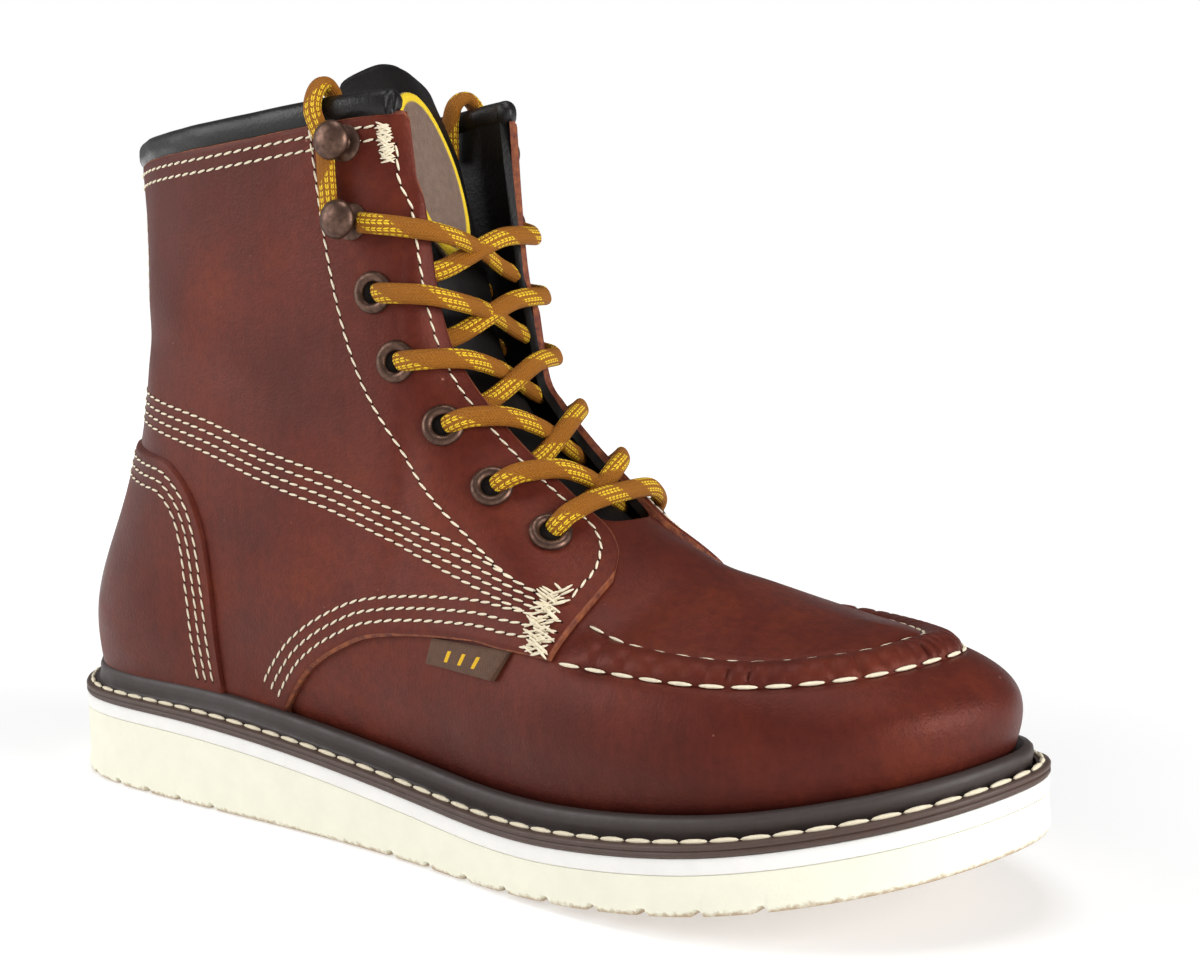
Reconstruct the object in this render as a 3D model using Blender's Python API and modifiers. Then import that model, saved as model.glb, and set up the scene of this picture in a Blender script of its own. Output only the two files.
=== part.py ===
"""Moc-toe lace-up work boot for the right foot, standing empty on its wedge sole.

Lengths are in millimetres from the back of the sole; the outer side of the foot is minus Y. world() moves
points into the boot's own frame in metres, whose origin lies on the floor under the middle of the sole.
A place on the upper is a loop parameter t around the sole edge (heel, outer side, toe, inner side) and a
height v along the section there (0 at the welt, 1 at the collar or at the ridge of the foot).
"""
import math

import bmesh
import bpy
import numpy as np
from mathutils import Vector

OBJECT_NAME = "moc_toe_work_boot"
MM = 0.001
CLEAR = 0.3
LATERAL = -1
MEDIAL = 1

# Sole stack
SOLE_LENGTH = 305.0
HEEL_STACK = 24.0
FOREFOOT_STACK = 13.8
WEDGE_FROM = 55.0
WEDGE_TO = 205.0
TOE_SPRING = 19.5
SPRING_FROM = 168.0
STRIP_THICKNESS = 4.0
STRIP_INSET = 0.7
STRIP_ROUND = 0.4
SOLE_BEVEL = 1.6
SOLE_FLARE = 1.2
LUG_GROOVE = 2.4
LUG_DEPTH = 1.8
LUG_PITCH = 14.0
LUG_LENGTH = 152.0
FOREFOOT_LUGS = (148.0, 9)
HEEL_LUGS = (22.0, 5)
SOLE_STATIONS = 22

# Welt with its rand, and insole
WELT_LIP = 4.4
WELT_EDGE = 0.2
WELT_ROUND = 1.0
WELT_INNER = 13.0
WELT_LEDGE = 6.4
RAND_HEIGHT = 9.0
RAND_THICKNESS = 1.2
RAND_GAP = 0.7
INSOLE_INSET = 13.5
INSOLE_HEIGHT = 6.0

# Upper and the leather laid on it
FEATHER_INSET = 9.6
FEATHER_HEIGHT = 4.8
UPPER_WALL = 2.0
LAYER_GAP = 0.8
OVERLAY = 1.3
LAYER = LAYER_GAP + OVERLAY
SEAM_GAP = 1.2
BINDING_DROP = 8.0
# Section of the bound collar: distance outside the upper, height
BINDING_SECTION = ((2.1, 0.0), (2.3, 3.6), (1.5, 6.6), (-0.2, 7.7), (-1.9, 6.6), (-2.6, 3.6), (-2.2, 0.0))
MOC_RIDGE = 1.3
MOC_FROM = 205.0
MOC_FADE = 12.0
FRONT_FROM = 138.0
FRONT_TO = 160.0
TOE_FROM = 270.0
RUN_ON = 0.4
DOUBLES = 0.02

# Lacing
EYELET_RADIUS = 4.0
EYELET_WIRE = 1.3
EYELET_RISE = 0.75
EYELET_FLAT = 0.72
HOOK_HEIGHT = 9.4
HOOK_NECK = 2.0
# Domed head of a hook: radius, depth below its top
HOOK_HEAD = ((0, 0), (2.6, 0.5), (4.6, 1.8), (5.2, 3.0), (4.2, 3.6), (HOOK_NECK, 3.8))
LACE_RADIUS = 2.2
END_LIFT = 1.6
COLLAR_STEP = 7.0
LACE_UNDER = 2.0
LACE_OVER = 5.4
BAR_HEIGHT = 88.5
PROBE = 8.0
QUARTER_NAMES = {LATERAL: "quarter_lateral", MEDIAL: "quarter_medial"}
# Lace on the leather: part of the way from fitting to facing edge, height of its underside
EYELET_PATH = ((0.0, 2.5), (0.36, 2.5), (0.66, 1.4), (0.94, 1.0), (1.12, 0.5))
HOOK_PATH = ((0.45, 1.0), (0.7, 1.2), (0.94, 1.3), (1.12, 0.8))
THROAT_STOP = 7.0
# Strand: share of the upper place's height at its near and far facing edge, lift of the facing places
NEAR_SHARE = 0.75
FAR_SHARE = 0.28
STRAND_BOW = 5.0
BOW_STEP = 0.8
CREST = np.array((0.7, 0, 0.7))
# Lace end over the bound collar: distance outside the upper, depth below the rim, height added
COLLAR_WRAP = ((5.2, 3.5, 0.0), (3.4, 0.6, 1.9), (-0.2, 0.6, 4.0), (-3.8, 0.6, 1.9), (-5.6, 3.5, 0.0),
               (-5.4, 14.0, 0.0))

# Plan of the sole edge: distance from the heel, then half width on the outer and on the inner side
SOLE_EDGE = np.array((
    (0, 0, 0), (3, 16, 16), (10, 25.5, 25.5), (22, 33.5, 33), (45, 38, 37.5), (80, 40, 37.5),
    (120, 41.5, 35.5), (160, 45.5, 38), (195, 51.5, 44.5), (225, 54, 49.5), (250, 52, 49),
    (272, 43.5, 42), (288, 32.5, 31.5), (298, 20, 21), (303.5, 7.5, 10.5), (305, -2, 2)), float)

# Sections of the upper, one row for each station along the sole edge. spine is where the section aims on the
# middle line; bulge, middle and rim are given by their inset from the sole edge and their height.
SECTION_COLUMNS = ("station", "spine", "bulge_in", "bulge_z", "middle_in", "middle_z", "rim_in", "rim_z",
                   "top_x", "top_y", "top_z")
SECTIONS = np.array((
    (0, 75, 10.5, 50, 22.0, 82, 33.5, 120, 30, 0, 184),
    (10, 75, 9.6, 50, 21.0, 82, 31.5, 120, 34, -9, 184.3),
    (22, 75, 8.2, 49, 16.5, 82, 25.5, 120, 43, -18.5, 185),
    (45, 78, 6.2, 48, 9.2, 83, 13.0, 120, 60, -27, 186.5),
    (80, 82, 6.8, 47, 6.0, 85, 8.6, 125, 84, -31.2, 188.5),
    (112, 112, 5.6, 45, 5.8, 80, 9.2, 125, 112, -29.4, 191.5),
    (134, 134, 5.0, 43, 6.6, 74, 11.0, 125, 135, -24.8, 193.8),
    (141, 141, 4.9, 42.5, 6.6, 72, 12.0, 122, 141, -21.2, 194.2),
    (146, 146, 4.8, 42, 6.8, 70, 13.0, 118, 144.5, -12, 194),
    (150, 150, 4.6, 42, 6.8, 68.5, 14.0, 113, 146.2, -4, 176),
    (156, 156, 4.4, 42, 6.8, 66, 15.0, 106, 148.5, 0, 149),
    (170, 169, 4.0, 41, 7.0, 62, 16.5, 92, 161, 0, 120.5),
    (184, 183, 3.8, 41, 7.2, 59.5, 17.0, 80, 178, 0, 101),
    (198, 197, 3.5, 41, 7.6, 58.2, 17.0, 70, 195, 0, 86),
    (214, 213, 3.3, 41, 8.6, 57.5, 17.0, 63.5, 208, 0, 80),
    (232, 229, 3.3, 42, 9.6, 57, 17.5, 61.5, 221, 0, 75),
    (252, 240, 3.8, 44, 11.5, 57, 19.5, 61, 234, 0, 70.8),
    (272, 244, 5.2, 47, 15.0, 57.8, 23.5, 61.5, 247, 0, 68),
    (290, 254, 6.8, 50, 18.5, 59.3, 27.5, 62.8, 257, 0, 66.5),
    (305, 262, 7.8, 51, 21.0, 61.0, 30.5, 64.0, 263, 0, 66.0)), float)
COLUMN = {name: index for index, name in enumerate(SECTION_COLUMNS)}
UPPER_STATIONS = (0, 1.3, 5, 11, 20, 33, 45, 56, 67, 75, 84, 101, 113, 122, 128, 132, 136, 139, 142, 145,
                  148, 152, 158, 165, 177, 188, 194, 197, 198.6, 205, 214, 226, 240, 254,
                  266, 277, 287, 296, 302, 305)
UPPER_ROWS = ((0, 0), (1, 0), (1, 0.5), (2, 0), (2, 0.5), (3, 0), (3, 0.2), (3, 0.4), (3, 0.6), (3, 0.8),
              (4, 0))

# Edges of the leather pieces by station along the sole edge
COLLAR_LINE = np.array(((0, 184), (45, 186.5), (80, 188.5), (112, 191.5), (134, 193.8), (150, 194.4)), float)
THROAT_HALF = np.array(((140, 21), (150, 21.5), (158, 19.5), (173, 16.5), (184, 14.5), (190, 13), (194, 10.5),
                        (197, 6.5), (198.5, 0)), float)
FACING_HALF = np.array(((140, 21), (150, 21.5), (158, 19.5), (173, 16.5), (184, 14.5), (190, 13.2),
                        (196, 12.3), (202.6, 15.4), (205, 19), (206.5, 24)), float)
COUNTER_TOP = np.array(((0, 101), (20, 100.5), (45, 98.3), (56, 97), (67, 91.4), (74, 83), (77.5, 72),
                        (79, 58)), float)
QUARTER_LOW = np.array(((103, 31), (107.5, 36.3), (116.4, 44.5), (129, 51.7), (139, 55.6), (151.6, 57.6),
                        (165.5, 58.7), (177.4, 59.1), (188, 58.2), (207, 57.6)), float)
BACKSTAY_EDGE = np.array(((98, 16), (115, 19), (135, 20), (160, 14), (186, 8)), float)
QUARTER_STATIONS = (21, 33, 45, 56, 67, 74, 77.5, 80.2, 84, 101, 113, 122, 128, 132, 136, 139, 142, 145, 148,
                    152, 158, 165, 177, 188, 197, 202.6, 205, 206.5)
LOWER_ROWS = np.array((0, 0.16, 0.34, 0.56, 0.78))
COUNTER_STATIONS = (0, 1.3, 5, 11, 20, 33, 45, 56, 67, 74, 77.5, 79)
FRONT_EDGE_SLANT = 5.0

# Eyelets from the throat upward, then the two hooks: station along the sole edge and height
LACE_PLACES = ((189, 83.8), (173, 94.6), (157.5, 109.5), (144.7, 125.8), (137.3, 143), (130, 160.8),
               (127.2, 180.4))
EYELETS = 5

# Tongue: middle line, half width, and where its side edges lie
TONGUE_COLUMNS = ("middle_x", "middle_z", "half_width", "edge_x", "edge_z")
TONGUE = np.array((
    (216, 71.8, 16, 214, 68.0), (205, 76.5, 19, 203, 71.5), (192, 82.5, 21, 189, 76.0),
    (178, 93.5, 20, 173, 85.5), (161, 107.0, 20, 155, 99.5), (146, 127.5, 21, 139, 122.0),
    (139, 151.5, 20.5, 132, 149.5), (131.5, 174.0, 20.5, 125, 174.0), (122.5, 195.0, 18.5, 117, 195.5),
    (118.5, 203.5, 12, 116, 203.0)), float)
TONGUE_THICKNESS = 2.6
PATCH_ROWS = (5.9, 8.0)
PATCH_HALF = 0.5
PATCH_FACE = 1.3
PATCH_THICKNESS = 0.9
TAG_STATIONS = (162.0, 187.0)
TAG_HEIGHTS = (50.5, 57.0)
TAG_FACE = 1.3
TAG_THICKNESS = 1.0


def ring_spline(nodes, values, at):
    """Smooth periodic cubic through rows of values: points and slopes. nodes ends with the loop's length."""
    step = np.diff(nodes)
    count = len(values)
    rise = (np.roll(values, -1, 0) - values) / step[:, None]
    matrix = np.zeros((count, count))
    for i in range(count):
        matrix[i, (i - 1) % count] += step[i]
        matrix[i, i] += 2 * (step[i] + step[i - 1])
        matrix[i, (i + 1) % count] += step[i - 1]
    pull = step[:, None] * np.roll(rise, 1, 0) + np.roll(step, 1)[:, None] * rise
    slopes = np.linalg.solve(matrix, 3 * pull)
    return hermite(nodes, values, slopes, at)


def ring_hold(nodes, values, at):
    """Periodic cubic through rows of values that never overshoots them."""
    step = np.diff(nodes)[:, None]
    rise = (np.roll(values, -1, 0) - values) / step
    before, step_before = np.roll(rise, 1, 0), np.roll(step, 1, 0)
    same_way = before * rise > 0
    safe_before = np.where(same_way, before, 1.0)
    safe_rise = np.where(same_way, rise, 1.0)
    weight = (2 * step + step_before) / safe_before + (step + 2 * step_before) / safe_rise
    slopes = np.where(same_way, 3 * (step + step_before) / weight, 0.0)
    return hermite(nodes, values, slopes, at)[0]


def hermite(nodes, values, slopes, at):
    """Cubic pieces of a loop from values and slopes at its nodes: points and slopes at each parameter."""
    count = len(values)
    at = np.mod(np.asarray(at, float), nodes[-1])
    i = np.clip(np.searchsorted(nodes, at, side="right") - 1, 0, count - 1)
    j = (i + 1) % count
    step = np.diff(nodes)[i][:, None]
    u = (at - nodes[i])[:, None] / step
    point = (1 + 2 * u) * (1 - u) ** 2 * values[i] + u * (1 - u) ** 2 * step * slopes[i]
    point += u * u * (3 - 2 * u) * values[j] - u * u * (1 - u) * step * slopes[j]
    slope = (6 * u * u - 6 * u) / step * (values[i] - values[j])
    slope += (1 - 4 * u + 3 * u * u) * slopes[i] + (3 * u * u - 2 * u) * slopes[j]
    return point, slope


EDGE_POINTS = np.concatenate((SOLE_EDGE[:, (0, 1)] * (1, -1), SOLE_EDGE[-2:0:-1][:, (0, 2)]))
EDGE_GAPS = np.linalg.norm(np.roll(EDGE_POINTS, -1, 0) - EDGE_POINTS, axis=1)
EDGE_NODES = np.concatenate(((0.0,), np.cumsum(np.sqrt(EDGE_GAPS))))
TOE = EDGE_NODES[len(SOLE_EDGE) - 1]
LOOP = EDGE_NODES[-1]


def sole_edge(t, inset=0.0):
    """Plan point of the sole edge at t, moved inward square to the edge."""
    point, slope = ring_spline(EDGE_NODES, EDGE_POINTS, t)
    inward = np.stack((-slope[:, 1], slope[:, 0]), 1)
    inward /= np.linalg.norm(inward, axis=1)[:, None]
    return point + inward * np.reshape(np.asarray(inset, float), (-1, 1))


EDGE_SAMPLES = sole_edge(np.linspace(0, LOOP, 720, endpoint=False))
MIDDLE_Y = (EDGE_SAMPLES[:, 1].min() + EDGE_SAMPLES[:, 1].max()) / 2


def station(x, side):
    """Loop parameter where the sole edge reaches x on one side of the boot."""
    t = np.linspace(0, TOE, 900) if side == LATERAL else np.linspace(LOOP, TOE, 900)
    reached = np.maximum.accumulate(sole_edge(t)[:, 0])
    return np.interp(x, reached, t)


def world(points):
    """Boot millimetres to the part's frame in metres."""
    return (np.asarray(points, float) - (SOLE_LENGTH / 2, MIDDLE_Y, 0)) * MM


def ease(value):
    """Smooth step from 0 to 1."""
    value = np.clip(value, 0, 1)
    return value * value * (3 - 2 * value)


def spring(x):
    """Height of the sole's underside: flat, then rising to the toe."""
    reach = (np.asarray(x, float) - SPRING_FROM) / (SOLE_LENGTH - SPRING_FROM)
    return TOE_SPRING * np.clip(reach, 0, None) ** 2


def seat(x):
    """Height of the top of the sole, where the welt lies."""
    wedge = ease((np.asarray(x, float) - WEDGE_FROM) / (WEDGE_TO - WEDGE_FROM))
    return HEEL_STACK + (FOREFOOT_STACK - HEEL_STACK) * wedge + spring(x)


def section_ring():
    """Section rows all around the boot, with the inner side mirrored from the outer."""
    outer = SECTIONS
    inner = SECTIONS[-2:0:-1].copy()
    inner[:, COLUMN["top_y"]] *= -1
    nodes = np.concatenate((station(outer[:, 0], LATERAL), station(inner[:, 0], MEDIAL), (LOOP,)))
    nodes[0] = 0.0
    return nodes, np.concatenate((outer, inner))


RING_NODES, RING_ROWS = section_ring()


def section_levels(t):
    """Feather, bulge, middle, rim and top points of the sections at t, and one point past the top."""
    smooth = ring_spline(RING_NODES, RING_ROWS, t)[0]
    held = ring_hold(RING_NODES, RING_ROWS, t)
    edge = sole_edge(t)
    aim = np.stack((held[:, COLUMN["spine"]], np.zeros(len(t))), 1) - edge
    aim /= np.linalg.norm(aim, axis=1)[:, None]
    levels = np.zeros((len(t), 6, 3))
    levels[:, 0, :2] = sole_edge(t, FEATHER_INSET)
    levels[:, 0, 2] = seat(levels[:, 0, 0]) + FEATHER_HEIGHT
    for level, name in enumerate(("bulge", "middle", "rim"), 1):
        inset = COLUMN[name + "_in"]
        levels[:, level, :2] = edge + aim * smooth[:, inset:inset + 1]
        levels[:, level, 2] = smooth[:, COLUMN[name + "_z"]]
    levels[:, 4] = held[:, COLUMN["top_x"]:]
    toe = np.clip((held[:, :1] - TOE_FROM) / (SOLE_LENGTH - TOE_FROM), 0, 1)
    front = ease((held[:, :1] - FRONT_FROM) / (FRONT_TO - FRONT_FROM))
    onward = RUN_ON * (levels[:, 4] - levels[:, 3])
    mirrored = levels[:, 3] * (1, -1, 1) - levels[:, 4]
    over_toe = levels[:, 4] - levels[:, 3] - (0, 0, 1)
    across = mirrored * (1 - toe) + over_toe * toe
    far = np.linalg.norm(onward, axis=1)[:, None]
    wide = np.linalg.norm(across, axis=1)[:, None]
    heading = onward / far * (1 - front) + across / wide * front
    heading /= np.linalg.norm(heading, axis=1)[:, None]
    levels[:, 5] = levels[:, 4] + heading * (far * (1 - front) + wide * front)
    return levels


def upper(t, v):
    """Outer face of the upper at t and v, and the heights v of its five levels."""
    t, v = np.broadcast_arrays(np.asarray(t, float), np.asarray(v, float))
    level = section_levels(t.ravel())
    count = len(level)
    along = np.zeros((count, 6))
    along[:, 1:] = np.cumsum(np.linalg.norm(np.diff(level, axis=1), axis=2), axis=1)
    step = np.diff(along, axis=1)
    matrix = np.zeros((count, 6, 6))
    right = np.zeros((count, 6, 3))
    matrix[:, 0, 0] = 1
    matrix[:, 5, 5] = 1
    for k in range(1, 5):
        matrix[:, k, k - 1] = step[:, k - 1]
        matrix[:, k, k] = 2 * (step[:, k - 1] + step[:, k])
        matrix[:, k, k + 1] = step[:, k]
        rise = (level[:, k + 1] - level[:, k]) / step[:, k, None]
        right[:, k] = 6 * (rise - (level[:, k] - level[:, k - 1]) / step[:, k - 1, None])
    bend = np.linalg.solve(matrix, right)
    at = v.ravel() * along[:, 4]
    i = (at[:, None] >= along[:, 1:5]).sum(1)
    row = np.arange(count)
    size = step[row, i][:, None]
    up = (at - along[row, i])[:, None]
    down = (along[row, i + 1] - at)[:, None]
    point = (bend[row, i] * down ** 3 + bend[row, i + 1] * up ** 3) / (6 * size)
    point += (level[row, i] / size - bend[row, i] * size / 6) * down
    point += (level[row, i + 1] / size - bend[row, i + 1] * size / 6) * up
    marks = along[:, :5] / along[:, 4:5]
    return point.reshape(t.shape + (3,)), marks.reshape(t.shape + (5,))


def upper_normal(t, v):
    """Outward direction of the upper at t and v."""
    t, v = np.broadcast_arrays(np.asarray(t, float), np.asarray(v, float))
    across = upper(t + 0.02, v)[0] - upper(t - 0.02, v)[0]
    along = upper(t, v + 0.004)[0] - upper(t, v - 0.004)[0]
    normal = np.cross(across, along)
    size = np.linalg.norm(normal, axis=-1, keepdims=True)
    return np.where(size > 1e-7, normal / np.maximum(size, 1e-7), (0, 0, 1))


def on_upper(t, v, out):
    """Point a given distance outside the upper."""
    return upper(t, v)[0] + upper_normal(t, v) * np.asarray(out, float)[..., None]


def search(t, low, keep):
    """Largest v above low that keeps a condition, by halving."""
    low = np.broadcast_to(np.asarray(low, float), t.shape).copy()
    high = np.ones(t.shape)
    for _ in range(26):
        half = (low + high) / 2
        held = keep(half)
        low = np.where(held, half, low)
        high = np.where(held, high, half)
    return np.where(keep(np.ones(t.shape)), 1.0, low)


def v_at_height(t, z):
    """Height parameter where the section at t reaches z."""
    return search(t, 0.0, lambda v: upper(t, v)[0][..., 2] < z)


def v_at_half(t, half):
    """Height parameter where the section at t comes within half of the middle line."""
    rim = upper(t, np.zeros(t.shape))[1][..., 3]
    return search(t, rim, lambda v: np.abs(upper(t, v)[0][..., 1]) > half)


def table(rows, x):
    """Value of a two-column table at x."""
    return np.interp(x, rows[:, 0], rows[:, 1])


def upper_edge(x, t):
    """Height parameter of the upper's free edge: collar, throat, or the closed ridge of the vamp."""
    collar = v_at_height(t, table(COLLAR_LINE, x) - BINDING_DROP)
    throat = np.where(x < THROAT_HALF[0, 0], 1.0, v_at_half(t, table(THROAT_HALF, x)))
    return np.where(x >= THROAT_HALF[-1, 0], 1.0, np.minimum(collar, throat))


def moc_ridge(x, v, marks):
    """Height of the raised moccasin seam between the middle and rim levels."""
    across = (v - marks[..., 2]) / (marks[..., 3] - marks[..., 2])
    bump = np.where((across > 0) & (across < 1), np.sin(np.pi * np.clip(across, 0, 1)), 0.0)
    return MOC_RIDGE * bump * ease((x - MOC_FROM) / MOC_FADE)


def make_material(name, colour, roughness, metallic=0.0):
    """Principled material in the piece's own colour."""
    material = bpy.data.materials.new(name)
    material.use_nodes = True
    shader = material.node_tree.nodes["Principled BSDF"]
    shader.inputs["Base Color"].default_value = (*colour, 1)
    shader.inputs["Roughness"].default_value = roughness
    shader.inputs["Metallic"].default_value = metallic
    material.diffuse_color = (*colour, 1)
    return material


def add_object(name, data, collection, material=None):
    """Link new object data into a collection."""
    thing = bpy.data.objects.new(name, data)
    collection.objects.link(thing)
    if material:
        data.materials.append(material)
    return thing


def add_mesh(name, points, faces, collection, material=None, smooth=True):
    """Mesh object from boot millimetres."""
    mesh = bpy.data.meshes.new(name)
    mesh.from_pydata(world(points).tolist(), [], faces)
    mesh.validate()
    if smooth:
        mesh.shade_smooth()
    return add_object(name, mesh, collection, material)


def grid_faces(columns, rows, closed=False):
    """Quads of a grid stored column by column."""
    last = columns if closed else columns - 1
    faces = []
    for i in range(last):
        j = (i + 1) % columns
        faces += [(i * rows + k, j * rows + k, j * rows + k + 1, i * rows + k + 1) for k in range(rows - 1)]
    return faces


def thicken(thing, thickness):
    """Give an open sheet its wall, inward from its outer face."""
    wall = thing.modifiers.new("wall", "SOLIDIFY")
    wall.thickness = thickness * MM
    wall.offset = -1
    wall.use_even_offset = False
    return thing


def sheet(name, points, collection, material, thickness):
    """Thickened sheet from a grid of outer points whose columns run with t and rows with v."""
    columns, rows = points.shape[:2]
    thing = add_mesh(name, points.reshape(-1, 3), grid_faces(columns, rows), collection, material)
    return thicken(thing, thickness)


def loop_stations(count):
    """Loop parameters at equal x on both sides, closer together at heel and toe."""
    x = SOLE_LENGTH / 2 * (1 - np.cos(np.linspace(0, math.pi, count)))
    return np.concatenate((station(x, LATERAL), station(x[-2:0:-1], MEDIAL)))


def ladder(count, first, upward):
    """Cap of a loop: rungs from the outer to the inner side."""
    half = count // 2
    faces = [(0, 1, count - 1), (half - 1, half, half + 1)]
    faces += [(i, i + 1, count - i - 1, count - i) for i in range(1, half - 1)]
    faces = [tuple(first + k for k in face) for face in faces]
    return faces if upward else [face[::-1] for face in faces]


def stacked(name, rings, collection, material):
    """Closed solid from loops stacked upward."""
    count = len(rings[0])
    faces = ladder(count, 0, False) + ladder(count, count * (len(rings) - 1), True)
    for k in range(len(rings) - 1):
        low, high = k * count, (k + 1) * count
        faces += [(low + i, low + (i + 1) % count, high + (i + 1) % count, high + i) for i in range(count)]
    return add_mesh(name, np.concatenate(rings), faces, collection, material, smooth=False)


def loop_at(t, inset, height):
    """Loop of points inset from the sole edge, at a height worked out from x."""
    plan = sole_edge(t, inset)
    return np.column_stack((plan, height(plan[:, 0])))


def cut(target, cutters, operation="DIFFERENCE"):
    """Boolean modifiers on a piece, one for each cutter."""
    for cutter in cutters:
        cutter.hide_render = True
        cutter.display_type = "WIRE"
        modifier = target.modifiers.new(cutter.name, "BOOLEAN")
        modifier.operation = operation
        modifier.object = cutter
        modifier.solver = "EXACT"


def lug_cutter(x, collection):
    """Bar that cuts one groove across the tread."""
    mesh = bpy.data.meshes.new("lug_cutter")
    solid = bmesh.new()
    bmesh.ops.create_cube(solid, size=1.0)
    bmesh.ops.scale(solid, vec=(LUG_GROOVE * MM, LUG_LENGTH * MM, 2 * LUG_DEPTH * MM), verts=solid.verts)
    solid.to_mesh(mesh)
    solid.free()
    cutter = add_object("lug_cutter", mesh, collection)
    cutter.location = world((x, MIDDLE_Y, float(spring(x))))
    cutter.rotation_euler = (0, -math.atan(float(spring(x + 1) - spring(x - 1)) / 2), 0)
    return cutter


def build_sole(parts, cutters, materials):
    """Wedge outsole with its tread grooves, the white strip above it, and the insole."""
    t = loop_stations(SOLE_STATIONS)
    outsole = stacked("outsole", (
        loop_at(t, SOLE_BEVEL, spring),
        loop_at(t, 0.0, lambda x: spring(x) + SOLE_BEVEL),
        loop_at(t, SOLE_FLARE, lambda x: seat(x) - STRIP_THICKNESS - CLEAR)), parts, materials["outsole"])
    grooves = []
    for first, count in (FOREFOOT_LUGS, HEEL_LUGS):
        grooves += [lug_cutter(first + LUG_PITCH * k, cutters) for k in range(count)]
    cut(outsole, grooves)
    stacked("midsole", (
        loop_at(t, STRIP_INSET + STRIP_ROUND, lambda x: seat(x) - STRIP_THICKNESS),
        loop_at(t, STRIP_INSET, lambda x: seat(x) - STRIP_THICKNESS / 2),
        loop_at(t, STRIP_INSET + STRIP_ROUND, seat)), parts, materials["midsole"])
    stacked("insole", (
        loop_at(t, INSOLE_INSET, lambda x: seat(x) + CLEAR),
        loop_at(t, INSOLE_INSET, lambda x: seat(x) + INSOLE_HEIGHT)), parts, materials["insole"])


def build_welt(parts, materials):
    """Welt: stitched lip outside, rand leaning on the upper, and the ledge that carries it."""
    t = loop_stations(SOLE_STATIONS)
    foot = sole_edge(t, FEATHER_INSET)[:, 0]
    top = v_at_height(t, seat(foot) + RAND_HEIGHT)
    feather = on_upper(t, np.zeros(len(t)), RAND_GAP)
    profile = (
        loop_at(t, WELT_ROUND, lambda x: seat(x) + CLEAR),
        loop_at(t, WELT_EDGE, lambda x: seat(x) + WELT_LIP / 2),
        loop_at(t, WELT_ROUND, lambda x: seat(x) + WELT_LIP),
        loop_at(t, WELT_LEDGE, lambda x: seat(x) + WELT_LIP),
        on_upper(t, top, RAND_GAP + RAND_THICKNESS),
        on_upper(t, top, RAND_GAP),
        feather,
        loop_at(t, WELT_INNER, lambda x: seat(x) + WELT_LIP),
        loop_at(t, WELT_INNER, lambda x: seat(x) + CLEAR))
    count, sides = len(t), len(profile)
    faces = []
    for k in range(sides):
        low, high = k * count, (k + 1) % sides * count
        faces += [(low + i, low + (i + 1) % count, high + (i + 1) % count, high + i) for i in range(count)]
    add_mesh("welt", np.concatenate(profile), faces, parts, materials["welt"], smooth=False)


def build_upper(parts, materials):
    """Upper: one hollow wall over the last, open at collar, throat and underneath."""
    outer = np.array(UPPER_STATIONS, float)
    x = np.concatenate((outer, outer[-2:0:-1]))
    t = np.concatenate((station(outer, LATERAL), station(outer[-2:0:-1], MEDIAL)))
    marks = upper(t, np.zeros(len(t)))[1].copy()
    marks[:, 4] = upper_edge(x, t)
    v = np.stack([marks[:, k] + (marks[:, min(k + 1, 4)] - marks[:, k]) * part for k, part in UPPER_ROWS], 1)
    grid_t = np.broadcast_to(t[:, None], v.shape)
    points, levels = upper(grid_t, v)
    points = points + upper_normal(grid_t, v) * moc_ridge(x[:, None], v, levels)[..., None]
    count = len(t)
    for i in range(len(outer)):
        if outer[i] >= THROAT_HALF[-1, 0]:
            ridge = (points[i, -1] + points[-i % count, -1]) / 2 * (1, 0, 1)
            points[i, -1] = ridge
            points[-i % count, -1] = ridge
    faces = grid_faces(count, v.shape[1], True)
    thing = add_mesh("upper", points.reshape(-1, 3), faces, parts, materials["leather"])
    solid = bmesh.new()
    solid.from_mesh(thing.data)
    bmesh.ops.remove_doubles(solid, verts=solid.verts, dist=DOUBLES * MM)
    solid.to_mesh(thing.data)
    solid.free()
    thicken(thing, UPPER_WALL)


def quarter_grid(side, rows):
    """t and v over one quarter, from the backstay to the rounded front edge, with rows above the rim."""
    x = np.array(QUARTER_STATIONS, float)[:, None]
    part = (x - x[0]) / (x[-1] - x[0])
    t = station(x, side)
    rand = seat(x) + RAND_HEIGHT + SEAM_GAP
    behind = x <= COUNTER_TOP[-1, 0] + SEAM_GAP
    low = np.where(behind, table(COUNTER_TOP, x - SEAM_GAP) + SEAM_GAP, rand)
    low = np.maximum(low, np.where(x > QUARTER_LOW[0, 0], table(QUARTER_LOW, x), rand))
    bottom = v_at_height(t, low)
    collar = v_at_height(t, table(COLLAR_LINE, x) - BINDING_DROP - CLEAR)
    facing = np.where(x < FACING_HALF[0, 0], 1.0, v_at_half(t, table(FACING_HALF, x)))
    top = np.minimum(collar, facing)
    rim = upper(t, 0.0)[1][..., 3]
    v = np.concatenate((bottom + (rim - bottom) * LOWER_ROWS, rim + (top - rim) * np.linspace(0, 1, rows)), 1)
    z = upper(np.broadcast_to(t, v.shape), v)[0][..., 2]
    back = table(BACKSTAY_EDGE, z) + SEAM_GAP - x[0]
    slant = -FRONT_EDGE_SLANT * np.clip((z[-1, -1] - z) / (z[-1, -1] - z[-1, 0]), 0, 1)
    shifted = x + back * (1 - part) ** 12 + slant * part ** 12
    t = station(shifted, side)
    return (t, v) if side == LATERAL else (t[::-1], v[::-1])


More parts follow.
